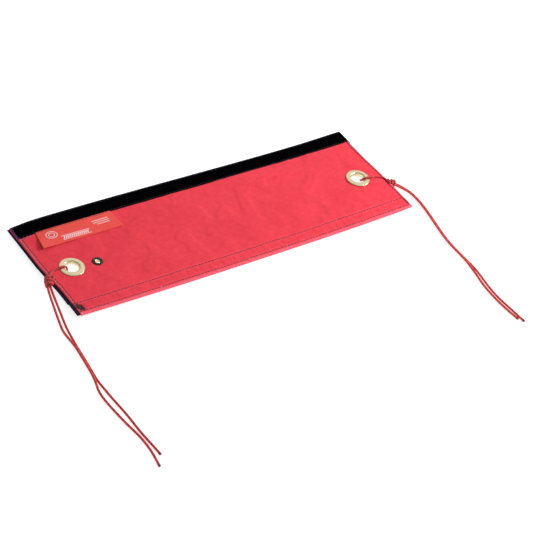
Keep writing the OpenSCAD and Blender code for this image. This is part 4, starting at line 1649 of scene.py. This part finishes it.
def add_camera():
    data = bpy.data.cameras.new("camera")
    data.lens = CAMERA_LENS
    data.sensor_width = 36
    data.clip_start = 0.05
    data.clip_end = 100
    az, el, roll = (math.radians(a) for a in (CAMERA_AZIMUTH, CAMERA_ELEVATION, CAMERA_ROLL))
    ahead = np.array([math.sin(az) * math.cos(el), math.cos(az) * math.cos(el), -math.sin(el)])
    level = np.array([math.cos(az), -math.sin(az), 0])
    above = np.cross(level, ahead)
    right = math.cos(roll) * level + math.sin(roll) * above
    up = math.cos(roll) * above - math.sin(roll) * level
    camera = add_object("camera", data)
    aim(camera, right, up, (-CAMERA_DISTANCE * ahead + AIM_RIGHT * right - AIM_DOWN * up) * MM)
    bpy.context.scene.camera = camera


def add_area_light(name, place, size, power, target):
    data = bpy.data.lights.new(name, "AREA")
    data.shape = "DISK"
    data.size = size
    data.energy = power
    back = unit(np.array(place, float) - np.array(target, float))
    side = unit(np.cross([0, 0, 1.0], back))
    aim(add_object(name, data), side, np.cross(back, side), place)


# The world is a dim room with one softbox in it, in the direction SOFTBOX_WAY
ROOM_LIGHT = 0.37
SOFTBOX_LIGHT = 0.95
SOFTBOX_WAY = (0.51, 0.55, 0.66)


SOFTBOX_EDGE = 0.72
SOFTBOX_CORE = 0.93
FLOOR_HALF_M = 12.0

# Lamps as (name, place, size, power, target), in metres and watts
LAMPS = (("key", (1.0, -0.45, 0.85), 0.5, 19.5, (0.1, 0, 0)),
         ("fill", (-0.9, -1.6, 1.8), 1.6, 4, (0, 0, 0)))


def add_floor():
    x, y = np.meshgrid(*[np.linspace(-FLOOR_HALF_M, FLOOR_HALF_M, 13) / MM] * 2)
    points = np.stack([x, y, np.full_like(x, FLOOR_Z)], -1).reshape(-1, 3)
    new_piece("floor", points, grid_faces(x.shape), floor_material())


def add_world():
    world = bpy.data.worlds.new("studio")
    bpy.context.scene.world = world
    world.use_nodes = True
    nodes, links = world.node_tree.nodes, world.node_tree.links
    background = nodes["Background"]
    background.inputs["Color"].default_value = (1.0, 1.0, 1.0, 1)
    direction = nodes.new("ShaderNodeTexCoord").outputs["Generated"]
    toward = nodes.new("ShaderNodeVectorMath")
    toward.operation = "DOT_PRODUCT"
    toward.inputs[1].default_value = tuple(unit(np.array(SOFTBOX_WAY)))
    box = nodes.new("ShaderNodeMapRange")
    box.interpolation_type = "SMOOTHSTEP"
    ends = {"From Min": SOFTBOX_EDGE, "From Max": SOFTBOX_CORE, "To Min": ROOM_LIGHT,
            "To Max": SOFTBOX_LIGHT}
    for key, value in ends.items():
        box.inputs[key].default_value = value
    links.new(direction, toward.inputs[0])
    links.new(toward.outputs["Value"], box.inputs["Value"])
    links.new(box.outputs["Result"], background.inputs["Strength"])


def add_stage():
    add_floor()
    add_world()
    for lamp in LAMPS:
        add_area_light(*lamp)
    view = bpy.context.scene.view_settings
    view.view_transform = "Standard"
    view.look = "None"
    view.exposure = 0.0


# ---- Build ----

canvas_pieces()
lining_pieces()
padding_pieces()
hook_strip()
loop_strip()
long_rows()
hem_rows()
corner_tacks()
stray_threads()
tape_end_stitches()
label_ribbon()
label_motif()
label_stitches()
large_eyelets()
small_eyelet()
for side in SIDES:
    cord_loop(side)
    cord_knot(side)
    tails(side)
add_stage()
add_camera()
